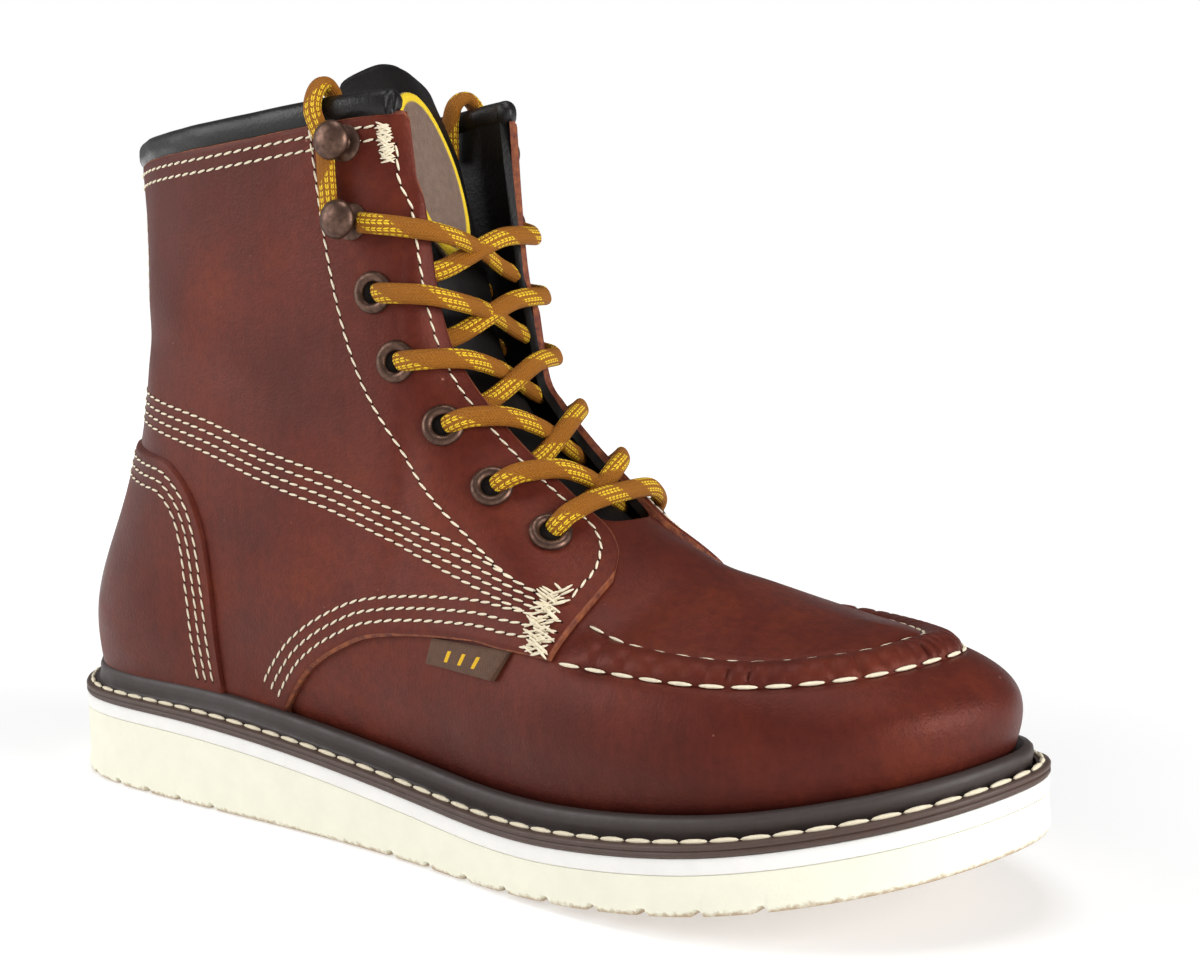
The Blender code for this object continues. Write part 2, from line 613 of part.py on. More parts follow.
def build_overlays(parts, materials):
    """Leather laid on the upper: both quarters, heel counter, backstay and the bound collar."""
    for side, name in QUARTER_NAMES.items():
        t, v = quarter_grid(side, 6)
        sheet(name, on_upper(t, v, LAYER * np.ones(t.shape)), parts, materials["leather"], OVERLAY)

    x = np.array(COUNTER_STATIONS, float)
    t = np.concatenate((station(x[:0:-1], MEDIAL) - LOOP, station(x, LATERAL)))
    x = np.concatenate((x[:0:-1], x))
    low = v_at_height(t, seat(x) + RAND_HEIGHT + SEAM_GAP)
    high = v_at_height(t, table(COUNTER_TOP, x))
    v = low[:, None] + (high - low)[:, None] * np.linspace(0, 1, 6)[None, :]
    t = np.broadcast_to(t[:, None], v.shape)
    sheet("counter", on_upper(t, v, LAYER * np.ones(v.shape)), parts, materials["leather"], OVERLAY)

    z = np.linspace(COUNTER_TOP[0, 1] + SEAM_GAP, COLLAR_LINE[0, 1] - BINDING_DROP - CLEAR, 7)[None, :]
    edge = station(table(BACKSTAY_EDGE, z), LATERAL)
    t = edge * np.linspace(-1, 1, 9)[:, None]
    v = v_at_height(t, np.broadcast_to(z, t.shape))
    sheet("backstay", on_upper(t, v, LAYER * np.ones(t.shape)), parts, materials["leather"], OVERLAY)
    build_binding(parts, materials)


def build_binding(parts, materials):
    """Bound collar: a rounded rim over the top edge from one throat corner around the back to the other."""
    corner = THROAT_HALF[0, 0]
    t = np.linspace(station(corner, MEDIAL) - LOOP, station(corner, LATERAL), 30)
    base = table(COLLAR_LINE, sole_edge(t)[:, 0]) - BINDING_DROP + 2 * CLEAR
    rings = [on_upper(t, v_at_height(t, base + up), out * np.ones(len(t))) for out, up in BINDING_SECTION]
    points = np.stack(rings, 1)
    columns, sides = points.shape[:2]
    faces = []
    for i in range(columns - 1):
        for k in range(sides):
            n = (k + 1) % sides
            faces.append((i * sides + k, (i + 1) * sides + k, (i + 1) * sides + n, i * sides + n))
    faces.append(tuple(range(sides)))
    faces.append(tuple((columns - 1) * sides + k for k in reversed(range(sides))))
    add_mesh("collar_binding", points.reshape(-1, 3), faces, parts, materials["binding"])


def tongue_points(row, across):
    """Outer face of the tongue at a row number and a place across it from -1 to 1."""
    row, across = np.broadcast_arrays(np.asarray(row, float), np.asarray(across, float))
    values = [np.interp(row, np.arange(len(TONGUE)), TONGUE[:, k]) for k in range(len(TONGUE_COLUMNS))]
    middle_x, middle_z, half, edge_x, edge_z = values
    bow = across ** 2
    x = middle_x + (edge_x - middle_x) * bow
    z = middle_z + (edge_z - middle_z) * bow
    return np.stack((x, half * across, z), -1)


def build_tongue(parts, materials):
    """Tongue under the throat, with the plain oval patch sewn to its front."""
    row = np.arange(len(TONGUE), dtype=float)[None, :]
    across = np.linspace(-1, 1, 9)[:, None]
    points = tongue_points(row, across)
    sheet("tongue", points, parts, materials["lining"], TONGUE_THICKNESS)
    side = np.linspace(-1, 1, 7)
    u, w = np.meshgrid(side, side, indexing="ij")
    middle = sum(PATCH_ROWS) / 2
    reach = (PATCH_ROWS[1] - PATCH_ROWS[0]) / 2
    across = PATCH_HALF * u * np.sqrt(1 - w * w / 2)
    row = middle + reach * w * np.sqrt(1 - u * u / 2)
    e = 0.05
    normal = np.cross(tongue_points(row, across + e) - tongue_points(row, across - e),
                      tongue_points(row + e, across) - tongue_points(row - e, across))
    normal /= np.linalg.norm(normal, axis=-1, keepdims=True)
    face = tongue_points(row, across) + normal * PATCH_FACE
    sheet("tongue_patch", face, parts, materials["patch"], PATCH_THICKNESS)


def build_tag(parts, materials):
    """Plain woven tag held by the lower seam of the outer quarter."""
    x = np.linspace(*TAG_STATIONS, 6)[:, None]
    z = np.linspace(*TAG_HEIGHTS, 3)[None, :]
    t = np.broadcast_to(station(x, LATERAL), (6, 3))
    v = v_at_height(t, np.broadcast_to(z, t.shape))
    sheet("side_tag", on_upper(t, v, TAG_FACE * np.ones(t.shape)), parts, materials["tag"], TAG_THICKNESS)


def facing_edge(side):
    """Stations, loop parameters, heights v and points along the facing edge, from collar to throat."""
    x = np.linspace(FACING_HALF[0, 0] + 2, FACING_HALF[-4, 0], 80)
    t = station(x, side)
    v = v_at_half(t, table(FACING_HALF, x))
    return x, t, v, upper(t, v)[0]


def lace_place(index, side):
    """t and v of an eyelet or hook."""
    x, z = LACE_PLACES[index]
    matched = side == MEDIAL and index < EYELETS
    t = np.array((float(station(x, LATERAL if matched else side)),))
    v = v_at_height(t, z)
    return across_throat(upper(t, v)[0][0]) if matched else (t, v)


def leather_face(side, t, v):
    """Point on the built face of a quarter at t and v, and the direction out of the leather."""
    point = on_upper(t, v, np.array((LAYER,)))[0]
    normal = upper_normal(t, v)[0]
    quarter = bpy.data.objects[QUARTER_NAMES[side]].evaluated_get(bpy.context.evaluated_depsgraph_get())
    start = Vector(world(point + normal * PROBE))
    hit, place, _, _ = quarter.ray_cast(start, Vector(-normal), distance=2 * PROBE * MM)
    if hit:
        point = np.array(place) / MM + (SOLE_LENGTH / 2, MIDDLE_Y, 0)
    return point, normal


def lace_seat(index, side, radius):
    """Highest point of the leather under a fitting, on the fitting's axis, and the axis."""
    t, v = lace_place(index, side)
    point, normal = leather_face(side, t, v)
    across = np.cross(normal, (0, 0, 1))
    across /= np.linalg.norm(across)
    rise = 0.0
    quarter = bpy.data.objects[QUARTER_NAMES[side]].evaluated_get(bpy.context.evaluated_depsgraph_get())
    for turn in np.linspace(0, 2 * math.pi, 12, endpoint=False):
        around = across * math.cos(turn) + np.cross(normal, across) * math.sin(turn)
        start = point + around * radius + normal * PROBE
        hit, place, _, _ = quarter.ray_cast(Vector(world(start)), Vector(-normal), distance=2 * PROBE * MM)
        if hit:
            rise = max(rise, PROBE - (place - Vector(world(start))).length / MM)
    return point + normal * rise, normal


def across_throat(point):
    """t and v on the inner side, as far from its facing edge as an outer point is from the other."""
    outer = facing_edge(LATERAL)[3]
    reach = np.linalg.norm(outer - point, axis=1)
    x, _, v, edge = facing_edge(MEDIAL)
    nearest = int(np.abs(edge[:, 2] - outer[reach.argmin(), 2]).argmin())
    ahead = edge[min(nearest + 1, len(edge) - 1)] - edge[max(nearest - 1, 0)]
    ahead /= np.linalg.norm(ahead)
    grid_t = station(x[nearest] - np.linspace(0, 40, 81)[:, None], MEDIAL) + np.zeros((1, 81))
    grid_v = np.minimum(v[nearest] + np.linspace(-0.5, 0.4, 81)[None, :], 1) + np.zeros((81, 1))
    away = upper(grid_t, grid_v)[0] - edge[nearest]
    miss = (np.linalg.norm(away, axis=-1) - reach.min()) ** 2 + (away @ ahead) ** 2
    best = np.unravel_index(miss.argmin(), miss.shape)
    return grid_t[best] * np.ones(1), grid_v[best] * np.ones(1)


def seat_on(thing, point, normal):
    """Place a turned piece with its axis along the normal."""
    thing.location = world(point)
    thing.rotation_mode = "QUATERNION"
    thing.rotation_quaternion = Vector((0, 0, 1)).rotation_difference(Vector(normal))


def eyelet_mesh():
    """Rolled rim of an eyelet, seated just above its origin."""
    solid = bmesh.new()
    around, wire = 8, 4
    rows = []
    for i in range(around):
        turn = 2 * math.pi * i / around
        row = []
        for k in range(wire):
            roll = 2 * math.pi * k / wire
            radius = EYELET_RADIUS + EYELET_WIRE * math.cos(roll)
            height = CLEAR + EYELET_RISE + EYELET_FLAT * math.sin(roll)
            place = radius * math.cos(turn) * MM, radius * math.sin(turn) * MM, height * MM
            row.append(solid.verts.new(place))
        rows.append(row)
    for i in range(around):
        for k in range(wire):
            n, m = (i + 1) % around, (k + 1) % wire
            solid.faces.new((rows[i][k], rows[n][k], rows[n][m], rows[i][m]))
    mesh = bpy.data.meshes.new("eyelet")
    solid.to_mesh(mesh)
    solid.free()
    mesh.shade_smooth()
    return mesh


def hook_object(name, collection, material):
    """Ball hook: foot, neck and domed head turned about its own axis."""
    head = [(radius, HOOK_HEIGHT - depth) for radius, depth in HOOK_HEAD]
    profile = head + [(HOOK_NECK, CLEAR), (0, CLEAR)]
    mesh = bpy.data.meshes.new(name)
    lines = [(i, i + 1) for i in range(len(profile) - 1)]
    mesh.from_pydata([(r * MM, 0, z * MM) for r, z in profile], lines, [])
    thing = add_object(name, mesh, collection, material)
    turn = thing.modifiers.new("turn", "SCREW")
    turn.steps = 8
    turn.render_steps = 8
    turn.use_merge_vertices = True
    turn.merge_threshold = 0.00001
    return thing


def build_fittings(parts, materials):
    """Five eyelets and two ball hooks on each side of the throat."""
    rim = eyelet_mesh()
    rim.materials.append(materials["metal"])
    bpy.context.view_layer.update()
    for side, word in ((LATERAL, "lateral"), (MEDIAL, "medial")):
        for index in range(len(LACE_PLACES)):
            if index < EYELETS:
                thing = add_object(f"eyelet_{word}_{index + 1}", rim, parts)
                seat_on(thing, *lace_seat(index, side, EYELET_RADIUS))
            else:
                thing = hook_object(f"hook_{word}_{index - EYELETS + 1}", parts, materials["metal"])
                seat_on(thing, *lace_seat(index, side, HOOK_NECK))


def smooth_route(points, count):
    """Evenly spaced points of a smooth curve through a route."""
    points = np.asarray(points, float)
    reach = np.concatenate(((0,), np.cumsum(np.sqrt(np.linalg.norm(np.diff(points, axis=0), axis=1)))))
    slope = np.gradient(points, reach, axis=0)
    fine = np.linspace(0, reach[-1], 40 * len(points))
    i = np.clip(np.searchsorted(reach, fine, side="right") - 1, 0, len(points) - 2)
    step = (reach[i + 1] - reach[i])[:, None]
    u = (fine - reach[i])[:, None] / step
    curve = (1 + 2 * u) * (1 - u) ** 2 * points[i] + u * (1 - u) ** 2 * step * slope[i]
    curve += u * u * (3 - 2 * u) * points[i + 1] - u * u * (1 - u) * step * slope[i + 1]
    length = np.concatenate(((0,), np.cumsum(np.linalg.norm(np.diff(curve, axis=0), axis=1))))
    even = np.linspace(0, length[-1], count)
    return np.stack([np.interp(even, length, curve[:, k]) for k in range(3)], 1)


def tube(name, route, count, collection, material, rounding=2):
    """Lace tube along a route, with eight sides or fewer."""
    data = bpy.data.curves.new(name, "CURVE")
    data.dimensions = "3D"
    data.bevel_depth = LACE_RADIUS * MM
    data.bevel_resolution = rounding
    data.use_fill_caps = True
    points = world(smooth_route(route, count))
    line = data.splines.new("POLY")
    line.points.add(count - 1)
    for point, place in zip(line.points, points):
        point.co = (*place, 1)
    return add_object(name, data, collection, material)


def tube_mesh(curve, name, collection, material):
    """Closed mesh of a lace tube, so that it can be joined to another."""
    bpy.context.view_layer.update()
    shape = curve.evaluated_get(bpy.context.evaluated_depsgraph_get())
    mesh = bpy.data.meshes.new_from_object(shape)
    mesh.name = name
    solid = bmesh.new()
    solid.from_mesh(mesh)
    bmesh.ops.remove_doubles(solid, verts=solid.verts, dist=DOUBLES / 2 * MM)
    solid.to_mesh(mesh)
    solid.free()
    data = curve.data
    bpy.data.objects.remove(curve)
    bpy.data.curves.remove(data)
    mesh.materials.clear()
    return add_object(name, mesh, collection, material)


def facing_place(z, side):
    """t and v of the facing edge where that edge has a given height."""
    x, _, _, edge = facing_edge(side)
    place = np.interp(z, edge[::-1, 2], x[::-1])
    t = np.array((float(station(place, side)),))
    return t, v_at_half(t, table(FACING_HALF, np.array((place,))))


def over_leather(index, side, z):
    """Lace from an eyelet or hook to the facing edge at a height, lying on the leather."""
    start_t, start_v = lace_place(index, side)
    edge_t, edge_v = facing_place(z, side)
    route = []
    for part, lift in EYELET_PATH if index < EYELETS else HOOK_PATH:
        place = start_t + (edge_t - start_t) * part, start_v + (edge_v - start_v) * part
        point, normal = leather_face(side, *place)
        route.append(point + normal * (LACE_RADIUS + lift))
    return route


def strand_route(index, side, rise):
    """Strand from a place outside the leather over its facing and down to the far edge of the throat."""
    high, low = LACE_PLACES[index][1], LACE_PLACES[index - 1][1]
    bow = STRAND_BOW - BOW_STEP * index
    route = over_leather(index, side, low + NEAR_SHARE * (high - low) + bow)
    t, v = facing_place(low + FAR_SHARE * (high - low) + bow, -side)
    far = on_upper(t, v, np.array((LACE_RADIUS,)))[0] + (0, side * THROAT_STOP, 0)
    crest = (route[-1] + far) / 2 + CREST * rise
    return np.array((*route, crest, far))


def build_laces(parts, cutters, materials):
    """Straight bar at the throat, crossings above it, and the two ends over the collar."""
    near = over_leather(0, LATERAL, BAR_HEIGHT)
    far = over_leather(0, MEDIAL, BAR_HEIGHT)
    middle = (near[-1] + far[-1]) / 2 + CREST
    tube("lace_bar", (*near, middle, *far[::-1]), 13, parts, materials["lace"])
    for index in range(1, EYELETS + 1):
        name = f"lace_cross_{index + 1}"
        lower = tube(name + "_lower", strand_route(index, LATERAL, LACE_UNDER), 8, cutters, None, 1)
        under = tube_mesh(lower, name, parts, materials["lace"])
        over = tube(name + "_over", strand_route(index, MEDIAL, LACE_OVER), 8, cutters, None, 1)
        above = tube_mesh(over, name + "_strand", cutters, None)
        cut(under, (above,), "UNION")
    for side, word in ((LATERAL, "lateral"), (MEDIAL, "medial")):
        tube("lace_end_" + word, end_route(side), 12, parts, materials["lace"])


def end_route(side):
    """Lace end: behind the heads of both hooks, over the collar and a little way down inside."""
    low, low_out = lace_seat(EYELETS, side, HOOK_NECK)
    high, high_out = lace_seat(EYELETS + 1, side, HOOK_NECK)
    back = np.array((-1.0, 0, 0)) * (LACE_RADIUS + HOOK_NECK + CLEAR)
    lift = LACE_RADIUS + END_LIFT
    x = LACE_PLACES[-1][0] - COLLAR_STEP
    t = np.array((float(station(x, side)),))
    rim = table(COLLAR_LINE, x)
    route = [low + low_out * lift + back, (low + high) / 2 + (low_out + high_out) / 2 * lift + back,
             high + high_out * lift + back]
    for out, drop, rise in COLLAR_WRAP:
        route.append(on_upper(t, v_at_height(t, rim - drop), np.array((out,)))[0] + (0, 0, rise))
    return np.array(route)


def make_materials():
    """Colours and finishes of the boot's materials."""
    return {
        "leather": make_material("oiled_leather", (0.127, 0.031, 0.025), 0.42),
        "binding": make_material("black_leather", (0.012, 0.011, 0.011), 0.38),
        "lining": make_material("tongue_leather", (0.016, 0.013, 0.012), 0.45),
        "welt": make_material("welt_rubber", (0.062, 0.043, 0.036), 0.55),
        "midsole": make_material("white_strip", (0.87, 0.86, 0.82), 0.6),
        "outsole": make_material("cream_wedge", (0.84, 0.81, 0.66), 0.65),
        "insole": make_material("insole_leather", (0.25, 0.16, 0.09), 0.7),
        "metal": make_material("antique_metal", (0.16, 0.12, 0.10), 0.38, 0.9),
        "lace": make_material("woven_lace", (0.38, 0.16, 0.008), 0.75),
        "patch": make_material("patch_weave", (0.16, 0.11, 0.09), 0.7),
        "tag": make_material("tag_weave", (0.12, 0.075, 0.055), 0.7)}


def main():
    for thing in list(bpy.data.objects):
        bpy.data.objects.remove(thing)
    parts = bpy.data.collections.new(OBJECT_NAME)
    cutters = bpy.data.collections.new("cutters")
    bpy.context.scene.collection.children.link(parts)
    bpy.context.scene.collection.children.link(cutters)
    materials = make_materials()
    build_sole(parts, cutters, materials)
    build_welt(parts, materials)
    build_upper(parts, materials)
    build_overlays(parts, materials)
    build_tongue(parts, materials)
    build_tag(parts, materials)
    build_fittings(parts, materials)
    build_laces(parts, cutters, materials)
    bpy.context.view_layer.update()


main()
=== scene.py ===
"""Looks of the moc-toe work boot: leather panels, seams, laces, metal fittings, sole and a plain studio.

Lengths are in millimetres from the back of the sole until world() moves them into the part's frame. A place
on the upper is a loop parameter t around the sole edge and a height v along the section there.
"""
import math

import bmesh
import bpy
import numpy as np
from mathutils import Matrix, Vector
from mathutils.bvhtree import BVHTree

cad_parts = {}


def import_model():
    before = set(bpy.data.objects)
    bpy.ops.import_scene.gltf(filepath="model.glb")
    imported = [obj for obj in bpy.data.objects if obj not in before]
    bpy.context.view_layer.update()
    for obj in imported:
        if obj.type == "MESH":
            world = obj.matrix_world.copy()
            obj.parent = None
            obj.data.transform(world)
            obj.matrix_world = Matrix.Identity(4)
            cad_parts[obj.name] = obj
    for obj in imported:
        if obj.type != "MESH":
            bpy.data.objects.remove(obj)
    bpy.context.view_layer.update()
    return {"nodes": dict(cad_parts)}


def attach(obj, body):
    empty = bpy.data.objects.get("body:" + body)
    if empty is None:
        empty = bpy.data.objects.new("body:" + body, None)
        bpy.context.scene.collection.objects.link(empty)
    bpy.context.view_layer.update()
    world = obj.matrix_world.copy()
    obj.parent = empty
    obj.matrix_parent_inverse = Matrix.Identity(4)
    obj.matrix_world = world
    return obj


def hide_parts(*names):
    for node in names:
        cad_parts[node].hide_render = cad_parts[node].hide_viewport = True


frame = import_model()

bl_info = {
    "name": "Moc-toe work boot",
    "version": (1, 0, 0),
    "blender": (4, 5, 0),
    "location": "3D View > Sidebar > Boot",
    "description": "Dresses the packed work boot with leather, stitching, laces and sole finishes",
    "category": "Object",
}

MM = 0.001
LATERAL = -1
MEDIAL = 1
SIDES = ((LATERAL, "lateral"), (MEDIAL, "medial"))
BODY = "root"

# Sole stack and welt
SOLE_LENGTH = 305.0
HEEL_STACK = 24.0
FOREFOOT_STACK = 13.8
WEDGE_FROM = 55.0
WEDGE_TO = 205.0
TOE_SPRING = 19.5
SPRING_FROM = 168.0
STRIP_THICKNESS = 4.0
SOLE_BEVEL = 1.6
LUG_GROOVE = 2.4
LUG_DEPTH = 1.8
LUG_PITCH = 14.0
LUG_ROWS = ((148.0, 9), (22.0, 5))
TREAD_COLUMNS = (10.0, 290.0, 0.7)
WELT_LIP = 4.4
RAND_HEIGHT = 9.0
# Wedge: inset from the sole edge, height over its underside, share of the tread's depth
WEDGE_RINGS = ((SOLE_BEVEL + 0.8, 0.0, 1.0), (SOLE_BEVEL * 0.5, 0.25, 1.0), (0.25, 0.9, 0.8),
               (0.0, 2.2, 0.0), (0.35, 6.0, 0.0))
# Top of the wedge: inset, depth below the underside of the strip
WEDGE_TOP = ((0.55, 0.4), (0.7, 0.05))
# Strip: inset, height over its underside
STRIP_RINGS = ((0.9, 0.0), (0.6, 0.2), (0.5, 0.6), (0.45, 2.2), (0.55, 3.4), (0.9, 3.9), (3.0, 4.0))
# Lip of the welt: inset, height over the sole; the last ring already takes the rand's finish
LIP_RINGS = ((1.6, 0.05), (0.6, 0.15), (0.3, 0.6), (0.35, 1.3), (0.7, 1.6), (0.35, 1.9), (0.3, 2.5),
             (0.6, 3.0), (1.2, 3.15), (3.6, 3.2))
# Rand: distance outside the upper, height over the sole
RAND_RINGS = ((6.6, 3.4), (5.6, 4.2), (5.1, 5.4), (4.7, 6.9), (4.4, 8.5), (3.9, 9.4), (3.0, 9.8), (1.6, 9.5))
RAND_FOOT = 0.7
WELT_INSIDE = 13.0
WELT_UNDER = 0.3
WELT_SEAM_INSET = 2.3
WELT_SEAM_HEIGHT = 3.2

# Upper and the leather laid on it
FEATHER_INSET = 9.6
FEATHER_HEIGHT = 4.8
UPPER_WALL = 2.0
LAYER = 2.1
OVER_LAYER = 3.3
BINDING_DROP = 8.0
WALL_UNDER_BINDING = 3.0
PANEL_UNDER_BINDING = 2.0
LINING = 0.2
PANEL_BASE = 0.05
OVER_BASE = 0.1
EDGE_REACH = 0.7
EDGE_DROP = 0.7
HEEL_DROP = 1.0
BACKSTAY_SINK = 1.3
PANEL_FINISHES = ("waxed_leather", "lining_leather", "cut_leather")
HEEL_FINISHES = ("waxed_leather", "lining_leather", "waxed_leather")
WELD = 0.02
MOC_RIDGE = 2.1
MOC_FROM = 204.0
MOC_FADE = 8.0
PLEAT_PITCH = 6.6
PLEAT_DEPTH = 1.15
OUTER_GROOVE = 0.85
INNER_GROOVE = 0.55
# Where the upper's columns lie closer together: along the moccasin seam, and at the round end of the throat
SEAM_FROM = 202.0
ROUND_END = (186, 201)
THROAT_ROUND = 190
THROAT_ROUND_HALF = 13.0
FRONT_FROM = 138.0
FRONT_TO = 160.0
TOE_FROM = 270.0
RUN_ON = 0.4
TUCK = 4.0
# Bound collar: where it ends at the facings, half thickness, height of its middle, half height
COLLAR_CORNER = 141.0
COLLAR_SHIFT = -0.1
COLLAR_HALF = 3.0
COLLAR_INNER = 0.9
COLLAR_MIDDLE = 4.1
COLLAR_RISE = 3.7

# Lacing
EYELETS = 5
# Turned fittings: radius, height over the leather
EYELET_PROFILE = ((0, -0.6), (5.2, -0.6), (5.35, 0.0), (5.4, 0.5), (5.1, 1.0), (4.4, 1.35), (3.7, 1.3),
                  (3.1, 1.0), (2.75, 0.5), (2.7, 0.25), (0, 0.2))
# Dark disc filling the eyelet's hole: painted shade
EYELET_SHADE_PROFILE = ((0, 0.15), (2.75, 0.15), (2.75, 0.45), (0, 0.45))
HOOK_PROFILE = ((0, -0.4), (4.6, -0.4), (4.7, 0.5), (4.2, 0.9), (2.3, 1.1), (2.0, 1.8), (2.0, 5.0),
                (2.6, 5.3), (4.2, 5.5), (4.8, 5.8), (5.0, 6.3), (4.85, 6.9), (4.3, 7.6), (3.4, 8.2),
                (2.2, 8.6), (1.1, 8.8), (0, 8.85))
FITTING_LIFT = 0.1
HOOK_NECK = 2.0
LACE_HALF = (2.6, 1.75)
LACE_RADIUS = 2.2
CLEAR = 0.3
END_LIFT = 1.6
COLLAR_STEP = 7.0
BAR_HEIGHT = 88.5
NEAR_SHARE = 0.75
FAR_SHARE = 0.28
STRAND_BOW = 5.0
BOW_STEP = 0.8
STRAND_LIFT = {LATERAL: 1.6, MEDIAL: 5.2}
CREST = np.array((0.7, 0, 0.7))
IN_EYELET = -2.5
LACE_POINTS = 90
LACE_SIDES = 24
LACE_SQUARE = 0.9
# Under the far facing: distance outside the upper and way across where the strand dips, then where it ends
FAR_DIP = (-1.6, 6.0)
FAR_END = (-UPPER_WALL - LACE_HALF[1] - 0.7, -3.0, -1.5)
# Lace on the leather: part of the way from fitting to facing edge, height of its underside over the leather
EYELET_PATH = ((0.1, -1.4), (0.32, 1.4), (0.62, 1.4), (0.98, 1.0))
HOOK_PATH = ((0.2, 1.0), (0.6, 1.2), (0.98, 1.0))
# Lace end over the bound collar: distance outside the upper, depth below the rim, height added
COLLAR_WRAP = ((5.2, 3.5, 0.0), (3.4, 0.6, 1.9), (-0.2, 0.6, 4.0), (-3.8, 0.6, 1.9), (-5.6, 3.5, 0.0),
               (-5.4, 14.0, 0.0))

# Plan of the sole edge: distance from the heel, then half width on the outer and on the inner side
SOLE_EDGE = np.array((
    (0, 0, 0), (3, 16, 16), (10, 25.5, 25.5), (22, 33.5, 33), (45, 38, 37.5), (80, 40, 37.5),
    (120, 41.5, 35.5), (160, 45.5, 38), (195, 51.5, 44.5), (225, 54, 49.5), (250, 52, 49),
    (272, 43.5, 42), (288, 32.5, 31.5), (298, 20, 21), (303.5, 7.5, 10.5), (305, -2, 2)), float)

# Sections of the upper: spine is where the section aims on the middle line; bulge, middle and rim are given
# by their inset from the sole edge and their height
SECTION_COLUMNS = ("station", "spine", "bulge_in", "bulge_z", "middle_in", "middle_z", "rim_in", "rim_z",
                   "top_x", "top_y", "top_z")
SECTIONS = np.array((
    (0, 75, 10.5, 50, 22.0, 82, 33.5, 120, 30, 0, 184),
    (10, 75, 9.6, 50, 21.0, 82, 31.5, 120, 34, -9, 184.3),
    (22, 75, 8.2, 49, 16.5, 82, 25.5, 120, 43, -18.5, 185),
    (45, 78, 6.2, 48, 9.2, 83, 13.0, 120, 60, -27, 186.5),
    (80, 82, 6.8, 47, 6.0, 85, 8.6, 125, 84, -31.2, 188.5),
    (112, 112, 5.6, 45, 5.8, 80, 9.2, 125, 112, -29.4, 191.5),
    (134, 134, 5.0, 43, 6.6, 74, 11.0, 125, 135, -24.8, 193.8),
    (141, 141, 4.9, 42.5, 6.6, 72, 12.0, 122, 141, -21.2, 194.2),
    (146, 146, 4.8, 42, 6.8, 70, 13.0, 118, 144.5, -12, 194),
    (150, 150, 4.6, 42, 6.8, 68.5, 14.0, 113, 146.2, -4, 176),
    (156, 156, 4.4, 42, 6.8, 66, 15.0, 106, 148.5, 0, 149),
    (170, 169, 4.0, 41, 7.0, 62, 16.5, 92, 161, 0, 120.5),
    (184, 183, 3.8, 41, 7.2, 59.5, 17.0, 80, 178, 0, 101),
    (198, 197, 3.5, 41, 7.6, 58.2, 17.0, 70, 195, 0, 86),
    (214, 213, 3.3, 41, 8.6, 57.5, 17.0, 63.5, 208, 0, 80),
    (232, 229, 3.3, 42, 9.6, 57, 17.5, 61.5, 221, 0, 75),
    (252, 240, 3.8, 44, 11.5, 57, 19.5, 61, 234, 0, 70.8),
    (272, 244, 5.2, 47, 15.0, 57.8, 23.5, 61.5, 247, 0, 68),
    (290, 254, 6.8, 50, 18.5, 59.3, 27.5, 62.8, 257, 0, 66.5),
    (305, 262, 7.8, 51, 21.0, 61.0, 30.5, 64.0, 263, 0, 66.0)), float)
COLUMN = {name: index for index, name in enumerate(SECTION_COLUMNS)}

# Edges of the leather pieces by station along the sole edge
COLLAR_LINE = np.array(((0, 184), (45, 186.5), (80, 188.5), (112, 191.5), (134, 193.8), (150, 194.4)), float)
FACING_HALF = np.array(((140, 21), (150, 21.5), (158, 19.5), (173, 16.5), (184, 14.5), (190, 13.2),
                        (196, 12.3), (202.6, 15.4), (205, 19), (206.5, 24)), float)
THROAT_HALF = np.array(((140, 21), (150, 21.5), (158, 19.5), (173, 16.5), (184, 14.5), (190, 13)), float)
THROAT_END = 198.5
COUNTER_TOP = np.array(((0, 101), (20, 100.5), (45, 98.3), (56, 97), (67, 91.4), (74, 83), (77.5, 72),
                        (79, 58)), float)
QUARTER_LOW = np.array(((103, 31), (107.5, 36.3), (116.4, 44.5), (129, 51.7), (139, 55.6), (151.6, 57.6),
                        (165.5, 58.7), (177.4, 59.1), (188, 58.2), (207, 57.6)), float)
BACKSTAY_EDGE = np.array(((98, 16), (115, 19), (135, 20), (160, 14), (186, 8)), float)
QUARTER_SPAN = (21.0, 206.5)
QUARTER_FRONT = 192
FRONT_EDGE_SLANT = 5.0
LACE_PLACES = ((189, 83.8), (173, 94.6), (157.5, 109.5), (144.7, 125.8), (137.3, 143), (130, 160.8),
               (127.2, 180.4))

# Seams drawn on a side of the boot: distance from the heel and height
BAND_TOP = np.array(((24, 121), (54, 113.7), (79.8, 108.1), (102.9, 101.1), (124.9, 95.8), (148.6, 87.9),
                     (169.1, 80.9), (188.1, 72.7), (195, 70)), float)
BAND_LOW = np.array(((24, 112.5), (54, 105.3), (79.8, 99.5), (102.9, 92.8), (124.9, 87.4), (149.4, 80),
                     (170.5, 73.3), (187, 68.3), (197, 65.2)), float)
EYESTAY = np.array(((117.4, 184.5), (119.8, 169.4), (123.3, 151.7), (127.8, 136.1), (134.3, 121.4),
                    (145.2, 106.4), (158.2, 92.2), (171.7, 82.2), (183.2, 74.9), (191.3, 71.2)), float)
BAND_SHARES = (0.0, 0.34, 0.67, 1.0)
# Sewn rows: distances from the edges that they follow
LOW_ROWS = (4.0, 7.0, 10.0)
FACING_ROW = 4.6
COLLAR_ROWS = (1.6, 5.0)
COUNTER_ROWS = (3.4, 6.4, 9.4)
BACKSTAY_ROWS = (2.6, 5.6)
# Where rows start and end: distances from the heel, and heights
LOW_FROM = 104
FACING_FROM = 139.5
FACING_HEIGHTS = (71, 184)
COLLAR_REACH = (12.0, 138.5)
BACKSTAY_END = 174
EDGE_CLEAR = 1.0
ROW_CLEAR = 1.5
CLOSE = 0.2
# Panel stitches: lean in degrees, height over the leather, share of the pitch that is thread
STITCH_LEAN = 9.0
STITCH_LIFT = 0.12
STITCH_SHARE = 0.9
